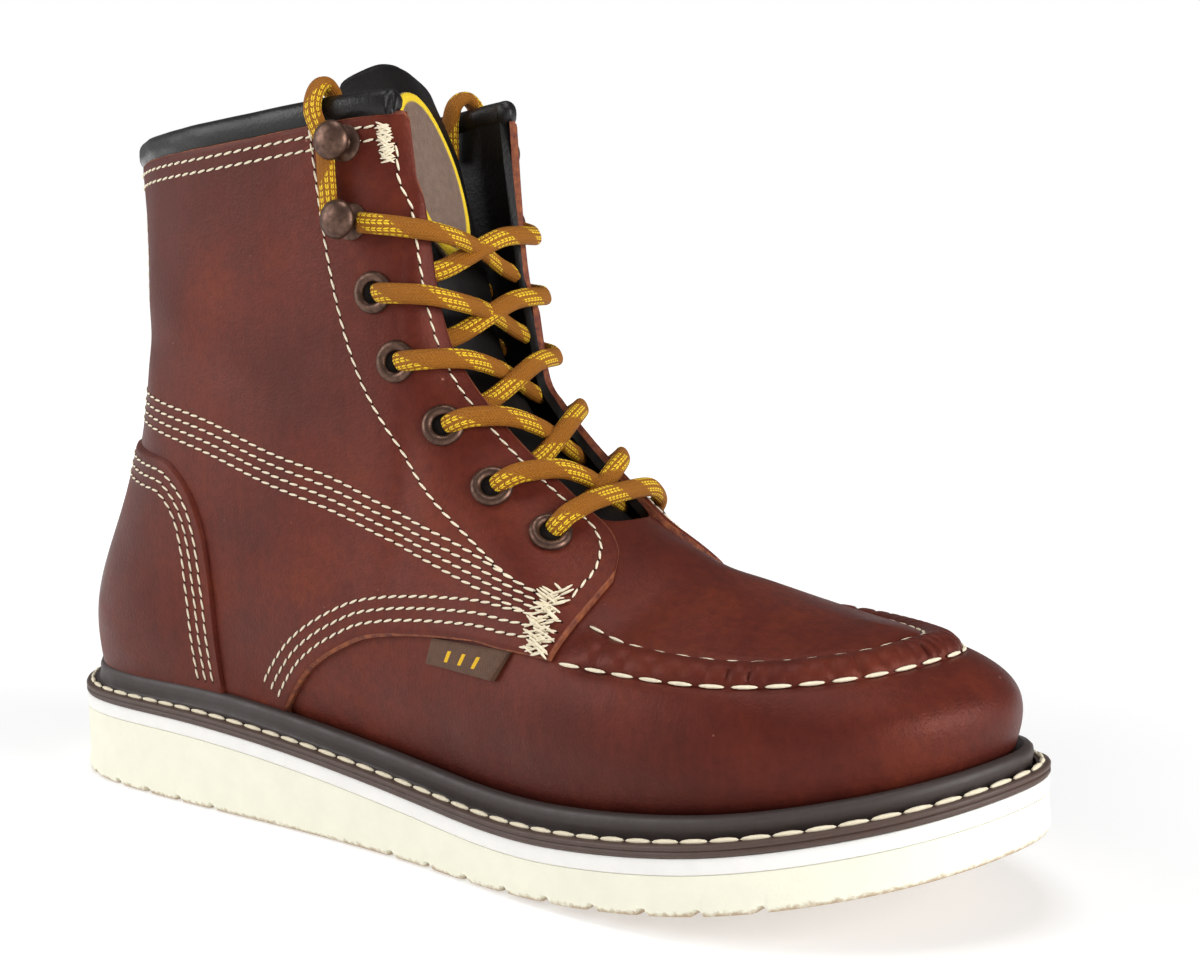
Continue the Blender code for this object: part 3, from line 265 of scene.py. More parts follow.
# Length, width and height; outer moccasin seam and welt have their length as a share of the pitch
# Needle hole: a dark blob of painted shade; its length, width and height, then how far it sinks
NEEDLE_SHADE_SIZE = (0.6, 0.5, 0.3)
HOLE_SINK = 0.1
MOC_OUTER = (0.8, 1.05, 1.1)
MOC_INNER = (4.6, 0.8, 0.8)
MOC_INNER_PITCH = 6.2
MOC_STARTS = (203.0, 206.0)
MOC_LIFTS = (-0.15, -0.2)
MOC_TIP = 290
WELT_THREAD = (0.97, 1.35, 1.4)
WELT_LIFT = 0.25
TACK_THREAD = (4.2, 0.7, 0.7)
# Bar tacks: distance from the heel and height, half width and half height, number of threads
TACKS = (((196.6, 65.2), (2.8, 6.6), 74), ((138.5, 180.0), (0.4, 4.4), 24))
TACK_SEED = 7

# Tongue: middle line, half width, and where its side edges lie
TONGUE = np.array((
    (216, 71.8, 16, 214, 68.0), (205, 76.5, 19, 203, 71.5), (192, 82.5, 21, 189, 76.0),
    (178, 93.5, 20, 173, 85.5), (161, 107.0, 20, 155, 99.5), (146, 127.5, 21, 139, 122.0),
    (139, 151.5, 20.5, 132, 149.5), (131.5, 174.0, 20.5, 125, 174.0), (122.5, 195.0, 18.5, 117, 195.5),
    (118.5, 203.5, 12, 116, 203.0)), float)
TONGUE_THICKNESS = 2.6
TONGUE_ROUND = 2.5
TONGUE_RIPPLE = 0.5
TONGUE_DROP = 1.2
# Oval patch: rows of the tongue that it covers, share of the width, height, size of its map, its border
PATCH_ROWS = (5.9, 8.0)
PATCH_HALF = 0.5
PATCH_HEIGHT = 1.6
PATCH_WEAVE = (12, 26)
PATCH_RIM = 0.9
# Side tag: corners by distance from the heel and height, height, lift of its lower edge, size of its map
TAG_CORNERS = ((162.0, 58.4), (189.0, 58.6), (184.7, 51.3), (161.3, 52.2))
TAG_HEIGHT = 1.5
TAG_LIFT = 0.7
TAG_WEAVE = (26, 7)

# Soft dips and swells of the leather: side, distance from heel, height, lean, half length, half width, rise
FOLDS = (
    (LATERAL, 214, 68, 60, 11, 7, -0.9), (LATERAL, 222, 64, 70, 10, 9, 0.4),
    (MEDIAL, 215, 68, 60, 11, 7, -0.9), (LATERAL, 60, 128, -12, 26, 6, -0.5),
    (LATERAL, 66, 140, -10, 24, 7, 0.45), (MEDIAL, 62, 130, -12, 26, 6, -0.5),
    (LATERAL, 104, 118, -20, 22, 6, -0.45), (MEDIAL, 106, 116, -20, 22, 6, -0.45),
    (LATERAL, 150, 74, -22, 24, 6, -0.4), (MEDIAL, 150, 74, -22, 24, 6, -0.4),
    (LATERAL, 236, 47, 6, 24, 6, -0.35), (MEDIAL, 232, 47, 6, 24, 6, -0.35))

# Studio, in metres: half side of the floor; lamps by name, place, aim, diameter and power in watts
FLOOR_HALF = 6
FLOOR_GREY = (0.62, 0.62, 0.62, 1)
SKY_STRENGTH = 0.62
LAMPS = (("left", (-1.1, -1.0, 0.8), (0, 0, 0.1), 1.2, 15.0),
         ("right", (1.3, 0.0, 0.45), (0, 0, 0.06), 0.8, 15.0),
         ("top", (0.0, -0.1, 1.7), (0, 0, 0.05), 0.8, 9.0))
# Camera: azimuth, elevation and roll in degrees, place on the boot's scale, and the picture in its own pixels
CAMERA_ANGLES = (33.9, 9.21, -0.638)
CAMERA_PLACE = (449.0, -373.9, 151.0)
PICTURE = (1200, 966)
PICTURE_MIDDLE = (643.2, 549.7)
FOCAL_PIXELS = 1796.6
SENSOR = 36.0


def srgb(*values):
    """Linear colour from display values of 0 to 255."""
    return tuple((v / 255 / 12.92) if v <= 10 else ((v / 255 + 0.055) / 1.055) ** 2.4 for v in values)


COLOUR = {"subtype": "COLOR", "size": 3, "min": 0, "max": 1}


class BootColours(bpy.types.PropertyGroup):
    """Colours of the boot's finishes."""
    leather: bpy.props.FloatVectorProperty(
        name="Leather", description="Waxed red-brown leather", default=srgb(92, 38, 29), **COLOUR)
    leather_dark: bpy.props.FloatVectorProperty(
        name="Leather, dark", description="Dark clouds in the leather", default=srgb(60, 24, 20), **COLOUR)
    leather_warm: bpy.props.FloatVectorProperty(
        name="Leather, warm", description="Orange clouds in the leather", default=srgb(112, 48, 28), **COLOUR)
    raw_edge: bpy.props.FloatVectorProperty(
        name="Cut edge", description="Raw edge of the leather", default=srgb(152, 84, 44), **COLOUR)
    black: bpy.props.FloatVectorProperty(
        name="Black leather", description="Binding, lining and tongue", default=srgb(15, 13, 12), **COLOUR)
    thread: bpy.props.FloatVectorProperty(
        name="Thread", description="Cream sewing thread", default=srgb(240, 228, 200), **COLOUR)
    lace: bpy.props.FloatVectorProperty(
        name="Lace", description="Brown-gold braid", default=srgb(158, 96, 13), **COLOUR)
    fleck: bpy.props.FloatVectorProperty(
        name="Lace fleck", description="Yellow yarns in the braid", default=srgb(248, 208, 44), **COLOUR)
    rand: bpy.props.FloatVectorProperty(
        name="Rand", description="Dark rubber rand", default=srgb(58, 48, 45), **COLOUR)
    lip: bpy.props.FloatVectorProperty(
        name="Welt lip", description="Brown lip of the welt", default=srgb(78, 58, 50), **COLOUR)
    wedge: bpy.props.FloatVectorProperty(
        name="Wedge", description="Cream wedge sole", default=srgb(240, 238, 218), **COLOUR)
    strip: bpy.props.FloatVectorProperty(
        name="Strip", description="White midsole strip", default=srgb(240, 238, 234), **COLOUR)
    metal: bpy.props.FloatVectorProperty(
        name="Metal", description="Antique eyelets and hooks", default=srgb(106, 80, 68), **COLOUR)


class BootSizes(bpy.types.PropertyGroup):
    """Sizes of the sewing and strength of the light."""
    stitch_pitch: bpy.props.FloatProperty(
        name="Stitch pitch", description="Distance between stitches of the panel seams in millimetres",
        default=3.5, min=1.5, max=8)
    stitch_width: bpy.props.FloatProperty(
        name="Thread width", description="Width of the panel thread in millimetres", default=0.66, min=0.3,
        max=3)
    moc_pitch: bpy.props.FloatProperty(
        name="Moccasin pitch", default=7.6, min=3, max=15,
        description="Distance between stitches of the outer moccasin seam in millimetres")
    welt_pitch: bpy.props.FloatProperty(
        name="Welt pitch", description="Distance between stitches of the welt in millimetres",
        default=7.2, min=3, max=15)
    light: bpy.props.FloatProperty(
        name="Light", description="Strength of the studio light", default=1.0, min=0.1, max=5,
        subtype="FACTOR")


def unit(vectors):
    """Vectors made one long."""
    return vectors / np.linalg.norm(vectors, axis=-1, keepdims=True)


def lengths(line):
    """Distance along a line at each of its points."""
    return np.concatenate(((0,), np.cumsum(np.linalg.norm(np.diff(line, axis=0), axis=1))))


def values_at(rows, length, at):
    """Rows of three values along a line at given distances."""
    return np.stack([np.interp(at, length, rows[:, k]) for k in range(3)], 1)


def resample(line, count):
    """Evenly spaced points of a line."""
    line = np.asarray(line, float)
    length = lengths(line)
    return values_at(line, length, np.linspace(0, length[-1], count))


def ring_spline(nodes, values, at):
    """Smooth periodic cubic through rows of values: points and slopes. nodes ends with the loop's length."""
    step = np.diff(nodes)
    count = len(values)
    rise = (np.roll(values, -1, 0) - values) / step[:, None]
    matrix = np.zeros((count, count))
    for i in range(count):
        matrix[i, (i - 1) % count] += step[i]
        matrix[i, i] += 2 * (step[i] + step[i - 1])
        matrix[i, (i + 1) % count] += step[i - 1]
    pull = step[:, None] * np.roll(rise, 1, 0) + np.roll(step, 1)[:, None] * rise
    slopes = np.linalg.solve(matrix, 3 * pull)
    return hermite(nodes, values, slopes, at)


def ring_hold(nodes, values, at):
    """Periodic cubic through rows of values that never overshoots them."""
    step = np.diff(nodes)[:, None]
    rise = (np.roll(values, -1, 0) - values) / step
    before, step_before = np.roll(rise, 1, 0), np.roll(step, 1, 0)
    same_way = before * rise > 0
    safe_before = np.where(same_way, before, 1.0)
    safe_rise = np.where(same_way, rise, 1.0)
    weight = (2 * step + step_before) / safe_before + (step + 2 * step_before) / safe_rise
    slopes = np.where(same_way, 3 * (step + step_before) / weight, 0.0)
    return hermite(nodes, values, slopes, at)[0]


def hermite(nodes, values, slopes, at):
    """Cubic pieces of a loop from values and slopes at its nodes: points and slopes at each parameter."""
    count = len(values)
    at = np.mod(np.asarray(at, float), nodes[-1])
    i = np.clip(np.searchsorted(nodes, at, side="right") - 1, 0, count - 1)
    j = (i + 1) % count
    step = np.diff(nodes)[i][:, None]
    u = (at - nodes[i])[:, None] / step
    point = (1 + 2 * u) * (1 - u) ** 2 * values[i] + u * (1 - u) ** 2 * step * slopes[i]
    point += u * u * (3 - 2 * u) * values[j] - u * u * (1 - u) * step * slopes[j]
    slope = (6 * u * u - 6 * u) / step * (values[i] - values[j])
    slope += (1 - 4 * u + 3 * u * u) * slopes[i] + (3 * u * u - 2 * u) * slopes[j]
    return point, slope


EDGE_POINTS = np.concatenate((SOLE_EDGE[:, (0, 1)] * (1, -1), SOLE_EDGE[-2:0:-1][:, (0, 2)]))
EDGE_GAPS = np.linalg.norm(np.roll(EDGE_POINTS, -1, 0) - EDGE_POINTS, axis=1)
EDGE_NODES = np.concatenate(((0.0,), np.cumsum(np.sqrt(EDGE_GAPS))))
TOE = EDGE_NODES[len(SOLE_EDGE) - 1]
LOOP = EDGE_NODES[-1]


def sole_edge(t, inset=0.0):
    """Plan point of the sole edge at t, moved inward square to the edge."""
    point, slope = ring_spline(EDGE_NODES, EDGE_POINTS, t)
    inward = unit(np.stack((-slope[:, 1], slope[:, 0]), 1))
    return point + inward * np.reshape(np.asarray(inset, float), (-1, 1))


EDGE_SAMPLES = sole_edge(np.linspace(0, LOOP, 720, endpoint=False))
MIDDLE_Y = (EDGE_SAMPLES[:, 1].min() + EDGE_SAMPLES[:, 1].max()) / 2
SIDE_T = {LATERAL: np.linspace(0, TOE, 900), MEDIAL: np.linspace(LOOP, TOE, 900)}
SIDE_X = {side: np.maximum.accumulate(sole_edge(t)[:, 0]) for side, t in SIDE_T.items()}


def station(x, side):
    """Loop parameter where the sole edge reaches x on one side of the boot."""
    return np.interp(x, SIDE_X[side], SIDE_T[side])


def around(x):
    """Loop parameters at the same distances from the heel on both sides, from heel over toe to heel."""
    return np.concatenate((station(x, LATERAL), station(x[-2:0:-1], MEDIAL)))


def world(points):
    """Boot millimetres to the part's frame in metres."""
    return (np.asarray(points, float) - (SOLE_LENGTH / 2, MIDDLE_Y, 0)) * MM


def ease(value):
    """Smooth step from 0 to 1."""
    value = np.clip(value, 0, 1)
    return value * value * (3 - 2 * value)


def spring(x):
    """Height of the sole's underside: flat, then rising to the toe."""
    reach = (np.asarray(x, float) - SPRING_FROM) / (SOLE_LENGTH - SPRING_FROM)
    return TOE_SPRING * np.clip(reach, 0, None) ** 2


def seat(x):
    """Height of the top of the sole, where the welt lies."""
    wedge = ease((np.asarray(x, float) - WEDGE_FROM) / (WEDGE_TO - WEDGE_FROM))
    return HEEL_STACK + (FOREFOOT_STACK - HEEL_STACK) * wedge + spring(x)


def section_ring():
    """Section rows all around the boot, with the inner side mirrored from the outer."""
    outer = SECTIONS
    inner = SECTIONS[-2:0:-1].copy()
    inner[:, COLUMN["top_y"]] *= -1
    nodes = np.concatenate((station(outer[:, 0], LATERAL), station(inner[:, 0], MEDIAL), (LOOP,)))
    nodes[0] = 0.0
    return nodes, np.concatenate((outer, inner))


RING_NODES, RING_ROWS = section_ring()


def section_levels(t):
    """Feather, bulge, middle, rim and top points of the sections at t, and one point past the top."""
    smooth = ring_spline(RING_NODES, RING_ROWS, t)[0]
    held = ring_hold(RING_NODES, RING_ROWS, t)
    edge = sole_edge(t)
    aim = unit(np.stack((held[:, COLUMN["spine"]], np.zeros(len(t))), 1) - edge)
    levels = np.zeros((len(t), 6, 3))
    levels[:, 0, :2] = sole_edge(t, FEATHER_INSET)
    levels[:, 0, 2] = seat(levels[:, 0, 0]) + FEATHER_HEIGHT
    for level, name in enumerate(("bulge", "middle", "rim"), 1):
        inset = COLUMN[name + "_in"]
        levels[:, level, :2] = edge + aim * smooth[:, inset:inset + 1]
        levels[:, level, 2] = smooth[:, COLUMN[name + "_z"]]
    levels[:, 4] = held[:, COLUMN["top_x"]:]
    toe = np.clip((held[:, :1] - TOE_FROM) / (SOLE_LENGTH - TOE_FROM), 0, 1)
    front = ease((held[:, :1] - FRONT_FROM) / (FRONT_TO - FRONT_FROM))
    onward = RUN_ON * (levels[:, 4] - levels[:, 3])
    mirrored = levels[:, 3] * (1, -1, 1) - levels[:, 4]
    over_toe = levels[:, 4] - levels[:, 3] - (0, 0, 1)
    across = mirrored * (1 - toe) + over_toe * toe
    far = np.linalg.norm(onward, axis=1)[:, None]
    wide = np.linalg.norm(across, axis=1)[:, None]
    heading = unit(onward / far * (1 - front) + across / wide * front)
    levels[:, 5] = levels[:, 4] + heading * (far * (1 - front) + wide * front)
    return levels


def upper(t, v):
    """Outer face of the upper at t and v, and the heights v of its five levels."""
    t, v = np.broadcast_arrays(np.asarray(t, float), np.asarray(v, float))
    level = section_levels(t.ravel())
    count = len(level)
    along = np.zeros((count, 6))
    along[:, 1:] = np.cumsum(np.linalg.norm(np.diff(level, axis=1), axis=2), axis=1)
    step = np.diff(along, axis=1)
    matrix = np.zeros((count, 6, 6))
    right = np.zeros((count, 6, 3))
    matrix[:, 0, 0] = 1
    matrix[:, 5, 5] = 1
    for k in range(1, 5):
        matrix[:, k, k - 1] = step[:, k - 1]
        matrix[:, k, k] = 2 * (step[:, k - 1] + step[:, k])
        matrix[:, k, k + 1] = step[:, k]
        rise = (level[:, k + 1] - level[:, k]) / step[:, k, None]
        right[:, k] = 6 * (rise - (level[:, k] - level[:, k - 1]) / step[:, k - 1, None])
    bend = np.linalg.solve(matrix, right)
    at = v.ravel() * along[:, 4]
    i = (at[:, None] >= along[:, 1:5]).sum(1)
    row = np.arange(count)
    size = step[row, i][:, None]
    up = (at - along[row, i])[:, None]
    down = (along[row, i + 1] - at)[:, None]
    point = (bend[row, i] * down ** 3 + bend[row, i + 1] * up ** 3) / (6 * size)
    point += (level[row, i] / size - bend[row, i] * size / 6) * down
    point += (level[row, i + 1] / size - bend[row, i + 1] * size / 6) * up
    marks = along[:, :5] / along[:, 4:5]
    return point.reshape(t.shape + (3,)), marks.reshape(t.shape + (5,))


def upper_normal(t, v):
    """Outward direction of the upper at t and v."""
    t, v = np.broadcast_arrays(np.asarray(t, float), np.asarray(v, float))
    across = upper(t + 0.02, v)[0] - upper(t - 0.02, v)[0]
    along = upper(t, v + 0.004)[0] - upper(t, v - 0.004)[0]
    normal = np.cross(across, along)
    size = np.linalg.norm(normal, axis=-1, keepdims=True)
    return np.where(size > 1e-7, normal / np.maximum(size, 1e-7), (0, 0, 1))


def on_upper(t, v, out):
    """Point a given distance outside the upper."""
    return upper(t, v)[0] + upper_normal(t, v) * np.asarray(out, float)[..., None]


def search(t, low, keep):
    """Largest v above low that keeps a condition, by halving."""
    low = np.broadcast_to(np.asarray(low, float), t.shape).copy()
    high = np.ones(t.shape)
    for _ in range(22):
        half = (low + high) / 2
        held = keep(half)
        low = np.where(held, half, low)
        high = np.where(held, high, half)
    return np.where(keep(np.ones(t.shape)), 1.0, low)


def v_at_height(t, z):
    """Height parameter where the section at t reaches z."""
    return search(t, 0.0, lambda v: upper(t, v)[0][..., 2] < z)


def v_at_half(t, half):
    """Height parameter where the section at t comes within half of the middle line."""
    rim = upper(t, np.zeros(t.shape))[1][..., 3]
    return search(t, rim, lambda v: np.abs(upper(t, v)[0][..., 1]) > half)


def table(rows, x):
    """Smooth value of a two-column table at x, without overshoot."""
    nodes, values = rows[:, 0], rows[:, 1]
    step = np.diff(nodes)
    rise = np.diff(values) / step
    slope = np.concatenate((rise[:1], np.zeros(len(rise) - 1), rise[-1:]))
    same = rise[:-1] * rise[1:] > 0
    before, after = np.where(same, rise[:-1], 1), np.where(same, rise[1:], 1)
    heavy, light = 2 * step[1:] + step[:-1], step[1:] + 2 * step[:-1]
    slope[1:-1] = np.where(same, (heavy + light) / (heavy / before + light / after), 0)
    x = np.clip(np.asarray(x, float), nodes[0], nodes[-1])
    i = np.clip(np.searchsorted(nodes, x, side="right") - 1, 0, len(step) - 1)
    u = (x - nodes[i]) / step[i]
    value = (1 + 2 * u) * (1 - u) ** 2 * values[i] + u * (1 - u) ** 2 * step[i] * slope[i]
    return value + u * u * (3 - 2 * u) * values[i + 1] - u * u * (1 - u) * step[i] * slope[i + 1]


def at_place(x, z, side):
    """t and v of the points of one side with a given distance from the heel and height."""
    x, z = np.asarray(x, float), np.asarray(z, float)
    along = x.copy()
    for _ in range(10):
        t = station(along, side)
        v = v_at_height(t, z)
        along = np.clip(along + 0.8 * (x - upper(t, v)[0][:, 0]), 0.5, SOLE_LENGTH)
    return t, v


def folds(points):
    """Rise of the soft dips and swells at surface points."""
    rise = np.zeros(points.shape[:-1])
    for side, x, z, lean, length, width, height in FOLDS:
        turn = math.radians(lean)
        dx, dz = points[..., 0] - x, points[..., 2] - z
        along = dx * math.cos(turn) + dz * math.sin(turn)
        away = -dx * math.sin(turn) + dz * math.cos(turn)
        here = np.clip(points[..., 1] * side / 8, 0, 1)
        rise += here * height * np.exp(-(along / length) ** 2 - (away / width) ** 2)
    return rise


def cluster(count, ends):
    """Shares from 0 to 1, with extra rows a few tenths of a millimetre from both ends of a given length."""
    close = np.array((0, 0.3, 0.8, 1.6)) / ends
    return np.concatenate((close, np.linspace(3.0 / ends, 1 - 3.0 / ends, count), 1 - close[::-1]))


def border(points):
    """Distance of grid points from the grid's borders, along its lines."""
    up = np.zeros(points.shape[:2])
    up[:, 1:] = np.cumsum(np.linalg.norm(np.diff(points, axis=1), axis=2), axis=1)
    over = np.zeros(points.shape[:2])
    over[1:] = np.cumsum(np.linalg.norm(np.diff(points, axis=0), axis=2), axis=0)
    return np.minimum(np.minimum(up, up[:, -1:] - up), np.minimum(over, over[-1:] - over))


def add_node(tree, kind, inputs=None, **settings):
    """New node with its settings, and its inputs set or linked."""
    made = tree.nodes.new(kind)
    for key, value in settings.items():
        setattr(made, key, value)
    for key, value in (inputs or {}).items():
        if isinstance(value, bpy.types.NodeSocket):
            tree.links.new(value, made.inputs[key])
        else:
            made.inputs[key].default_value = value
    return made


def math_node(tree, operation, first, second=0.0, third=0.0):
    """Result of a Math node."""
    made = add_node(tree, "ShaderNodeMath", {0: first, 1: second, 2: third}, operation=operation)
    return made.outputs[0]


def times(tree, first, second):
    """Product of two values."""
    return math_node(tree, "MULTIPLY", first, second)


def blend(tree, share, first, second):
    """Colour between two colours."""
    ends = [value if isinstance(value, bpy.types.NodeSocket) else (*value, 1) for value in (first, second)]
    made = add_node(tree, "ShaderNodeMix", {"Factor": share, 6: ends[0], 7: ends[1]}, data_type="RGBA")
    return made.outputs[2]


def span(tree, value, low, high, to_low=0.0, to_high=1.0):
    """Value moved from one span to another and held there."""
    made = add_node(tree, "ShaderNodeMapRange", {"Value": value, "From Min": low, "From Max": high,
                                                 "To Min": to_low, "To Max": to_high})
    return made.outputs["Result"]


def new_group(name, inputs, outputs):
    """Shader node group with named sockets."""
    group = bpy.data.node_groups.new(name, "ShaderNodeTree")
    for label, kind in inputs:
        group.interface.new_socket(name=label, in_out="INPUT", socket_type=kind)
    for label, kind in outputs:
        group.interface.new_socket(name=label, in_out="OUTPUT", socket_type=kind)
    return group, group.nodes.new("NodeGroupInput").outputs, group.nodes.new("NodeGroupOutput").inputs


def cloud_group():
    """Uneven dye: wide clouds, small clouds and fine streaks, each from 0 to 1."""
    group, given, put = new_group(
        "clouds", (("Vector", "NodeSocketVector"), ("Scale", "NodeSocketFloat")),
        (("Wide", "NodeSocketFloat"), ("Small", "NodeSocketFloat"), ("Fine", "NodeSocketFloat")))
    for label, factor, detail in (("Wide", 1.0, 4.0), ("Small", 4.5, 5.0), ("Fine", 26.0, 3.0)):
        scale = times(group, given["Scale"], factor)
        noise = add_node(group, "ShaderNodeTexNoise", {
            "Vector": given["Vector"], "Scale": scale, "Detail": detail, "Roughness": 0.58})
        group.links.new(span(group, noise.outputs[0], 0.32, 0.68), put[label])
    return group


def grain_group():
    """Height of leather grain: pebbles and fine pores."""
    group, given, put = new_group(
        "grain", (("Vector", "NodeSocketVector"), ("Pebble", "NodeSocketFloat")),
        (("Height", "NodeSocketFloat"),))
    cells = add_node(group, "ShaderNodeTexVoronoi", {"Vector": given["Vector"], "Scale": given["Pebble"],
                                                     "Randomness": 1.0})
    close = times(group, given["Pebble"], 2.6)
    fine = add_node(group, "ShaderNodeTexNoise", {"Vector": given["Vector"], "Scale": close, "Detail": 4.0})
    mixed = math_node(group, "MULTIPLY_ADD", cells.outputs["Distance"], 0.6, fine.outputs[0])
    group.links.new(mixed, put["Height"])
    return group


class Finishes:
    """Materials of the boot, made once and kept by name, and the node groups that they share."""
    made = {}
    groups = {}


def bump(tree, shader, height, strength, distance):
    """Bump from a height into the shader's normal."""
    made = add_node(tree, "ShaderNodeBump", {"Height": height, "Strength": strength, "Distance": distance})
    tree.links.new(made.outputs["Normal"], shader.inputs["Normal"])


def object_place(tree):
    """Object coordinates."""
    return tree.nodes.new("ShaderNodeTexCoord").outputs["Object"]


def place_group(tree, name, **inputs):
    """Outputs of a shared group placed with its own values."""
    return add_node(tree, "ShaderNodeGroup", inputs, node_tree=Finishes.groups[name]).outputs


def start_finish(name, scale, roughness, metallic=0.0, specular=0.5):
    """New Principled material: its tree and shader, the place on the piece and its uneven dye."""
    material = bpy.data.materials.new(name)
    material.use_nodes = True
    Finishes.made[name] = material
    tree = material.node_tree
    shader = tree.nodes["Principled BSDF"]
    shader.inputs["Roughness"].default_value = roughness
    shader.inputs["Metallic"].default_value = metallic
    shader.inputs["Specular IOR Level"].default_value = specular
    place = object_place(tree)
    return tree, shader, place, place_group(tree, "clouds", Vector=place, Scale=scale)


def add_grain(tree, shader, place, pebble, strength, distance):
    """Leather or rubber grain as bump."""
    pores = place_group(tree, "grain", Vector=place, Pebble=pebble)
    bump(tree, shader, pores["Height"], strength, distance)


def tinted(colour, factor):
    """Colour made darker or lighter."""
    return tuple(factor * c for c in colour)


def chart_parts(tree):
    """Directions of a piece's own map."""
    chart = add_node(tree, "ShaderNodeUVMap", uv_map="along").outputs["UV"]
    return add_node(tree, "ShaderNodeSeparateXYZ", {0: chart}).outputs


def make_finishes(colours):
    """All materials of the boot."""
    Finishes.groups = {"clouds": cloud_group(), "grain": grain_group()}
    make_leather(colours)
    make_plain_finishes(colours)
    make_wedge_finish(colours)
    make_thread(colours)
    make_lace_finish(colours)
    make_tape_finishes()


def make_leather(colours):
    """Waxed leather: clouds of dye, fine streaks, pale specks and grain."""
    tree, shader, place, dye = start_finish("waxed_leather", 16.0, 0.42, 0.0, 0.3)
    shader.inputs["Specular Tint"].default_value = (1.0, 0.42, 0.34, 1)
    dark = span(tree, dye["Wide"], 0.0, 1.0, 0.0, 0.75)
    colour = blend(tree, dark, colours.leather, colours.leather_dark)
    warm = times(tree, dye["Small"], span(tree, dye["Wide"], 0.75, 0.1))
    colour = blend(tree, times(tree, warm, 0.7), colour, colours.leather_warm)
    colour = blend(tree, span(tree, dye["Fine"], 0.2, 1.0, 0.0, 0.4), colour, colours.leather_dark)
    streak = add_node(tree, "ShaderNodeMapping", {
        "Vector": place, "Rotation": (0.0, 0.5, 0.3), "Scale": (420.0, 420.0, 60.0)})
    line = add_node(tree, "ShaderNodeTexNoise", {"Vector": streak.outputs[0], "Scale": 1.0, "Detail": 3.0})
    drawn = span(tree, line.outputs[0], 0.5, 0.75, 0.0, 0.14)
    colour = blend(tree, drawn, colour, colours.leather_warm)
    dots = add_node(tree, "ShaderNodeTexVoronoi", {"Vector": place, "Scale": 130.0})
    speck = span(tree, dots.outputs["Distance"], 0.06, 0.03)
    pale = times(tree, speck, span(tree, dye["Fine"], 0.5, 0.9))
    colour = blend(tree, times(tree, pale, 0.5), colour, srgb(176, 128, 108))
    tree.links.new(colour, shader.inputs["Base Color"])
    tree.links.new(span(tree, dye["Small"], 0.0, 1.0, 0.36, 0.5), shader.inputs["Roughness"])
    add_grain(tree, shader, place, 1100.0, 0.24, 0.0004)


def make_plain_finishes(colours):
    """Finishes of one dye each.

    Rows hold the name; roughness, metallic and specular; scale, layer and share of the dye; both colours;
    layer and span of the roughness; and pebbles per metre, strength and distance of the grain.
    """
    board = (srgb(140, 106, 72), srgb(112, 82, 54))
    # Two near blacks of painted shade for the insides of holes
    hole_shade_colours = ((0.004, 0.003, 0.003), (0.012, 0.008, 0.006))
    soft_black = (colours.black, tinted(colours.black, 1.9))
    rubber = (0.55, 0.0, 0.5), (40.0, "Fine", 0.5)
    rubber_face = ("Small", 0.48, 0.62), (1500.0, 0.12, 0.0003)
    rows = (
        ("cut_leather", (0.75, 0.0, 0.5), (90.0, "Small", 1.0), (colours.raw_edge, colours.leather),
         None, (1600.0, 0.5, 0.0004)),
        ("black_leather", (0.3, 0.0, 0.35), (30.0, "Small", 0.5), soft_black,
         ("Wide", 0.24, 0.42), (900.0, 0.22, 0.0005)),
        ("lining_leather", (0.46, 0.0, 0.2), (30.0, "Small", 0.5), soft_black,
         ("Wide", 0.4, 0.58), (600.0, 0.22, 0.0005)),
        ("rand_rubber", *rubber, (colours.rand, tinted(colours.rand, 0.72)), *rubber_face),
        ("lip_rubber", *rubber, (colours.lip, tinted(colours.lip, 0.72)), *rubber_face),
        ("white_rubber", (0.55, 0.0, 0.5), (30.0, "Small", 0.4),
         (colours.strip, tinted(colours.strip, 0.88)), None, None),
        ("antique_metal", (0.4, 0.85, 0.5), (160.0, "Small", 1.0),
         (colours.metal, tinted(colours.metal, 0.45)), ("Small", 0.32, 0.5), None),
        # Painted shade: near black for the eyelets' holes and the needle holes
        ("painted_hole_shade", (0.9, 0.0, 0.1), (200.0, "Small", 1.0), hole_shade_colours, None, None),
        ("insole_board", (0.7, 0.0, 0.5), (40.0, "Small", 1.0), board, None, (900.0, 0.2, 0.0004)))
    for name, surface, (scale, layer, share), ends, rough, grain in rows:
        tree, shader, place, dye = start_finish(name, scale, *surface)
        colour = blend(tree, times(tree, dye[layer], share), *ends)
        tree.links.new(colour, shader.inputs["Base Color"])
        if rough:
            tree.links.new(span(tree, dye[rough[0]], 0.0, 1.0, *rough[1:]), shader.inputs["Roughness"])
        if grain:
            add_grain(tree, shader, place, *grain)


def make_wedge_finish(colours):
    """Cream rubber with a ragged tan line along its lower edge."""
    tree, shader, place, dye = start_finish("cream_rubber", 24.0, 0.62)
    colour = blend(tree, times(tree, dye["Small"], 0.5), colours.wedge, tinted(colours.wedge, 0.9))
    low = add_node(tree, "ShaderNodeAttribute", attribute_name="above_floor").outputs["Fac"]
    ragged = math_node(tree, "ADD", low, times(tree, dye["Fine"], 1.2))
    colour = blend(tree, span(tree, ragged, 2.2, 1.0, 0.0, 0.75), colour, srgb(150, 112, 66))
    tree.links.new(colour, shader.inputs["Base Color"])
    add_grain(tree, shader, place, 700.0, 0.16, 0.0005)


def make_thread(colours):
    """Cream sewing thread with fine fibres."""
    tree, shader, place, dye = start_finish("cream_thread", 120.0, 0.7)
    colour = blend(tree, times(tree, dye["Small"], 0.45), colours.thread, tinted(colours.thread, 0.78))
    tree.links.new(colour, shader.inputs["Base Color"])
    fibre = add_node(tree, "ShaderNodeTexNoise", {"Vector": place, "Scale": 4200.0, "Detail": 2.0})
    bump(tree, shader, fibre.outputs[0], 0.4, 0.0004)


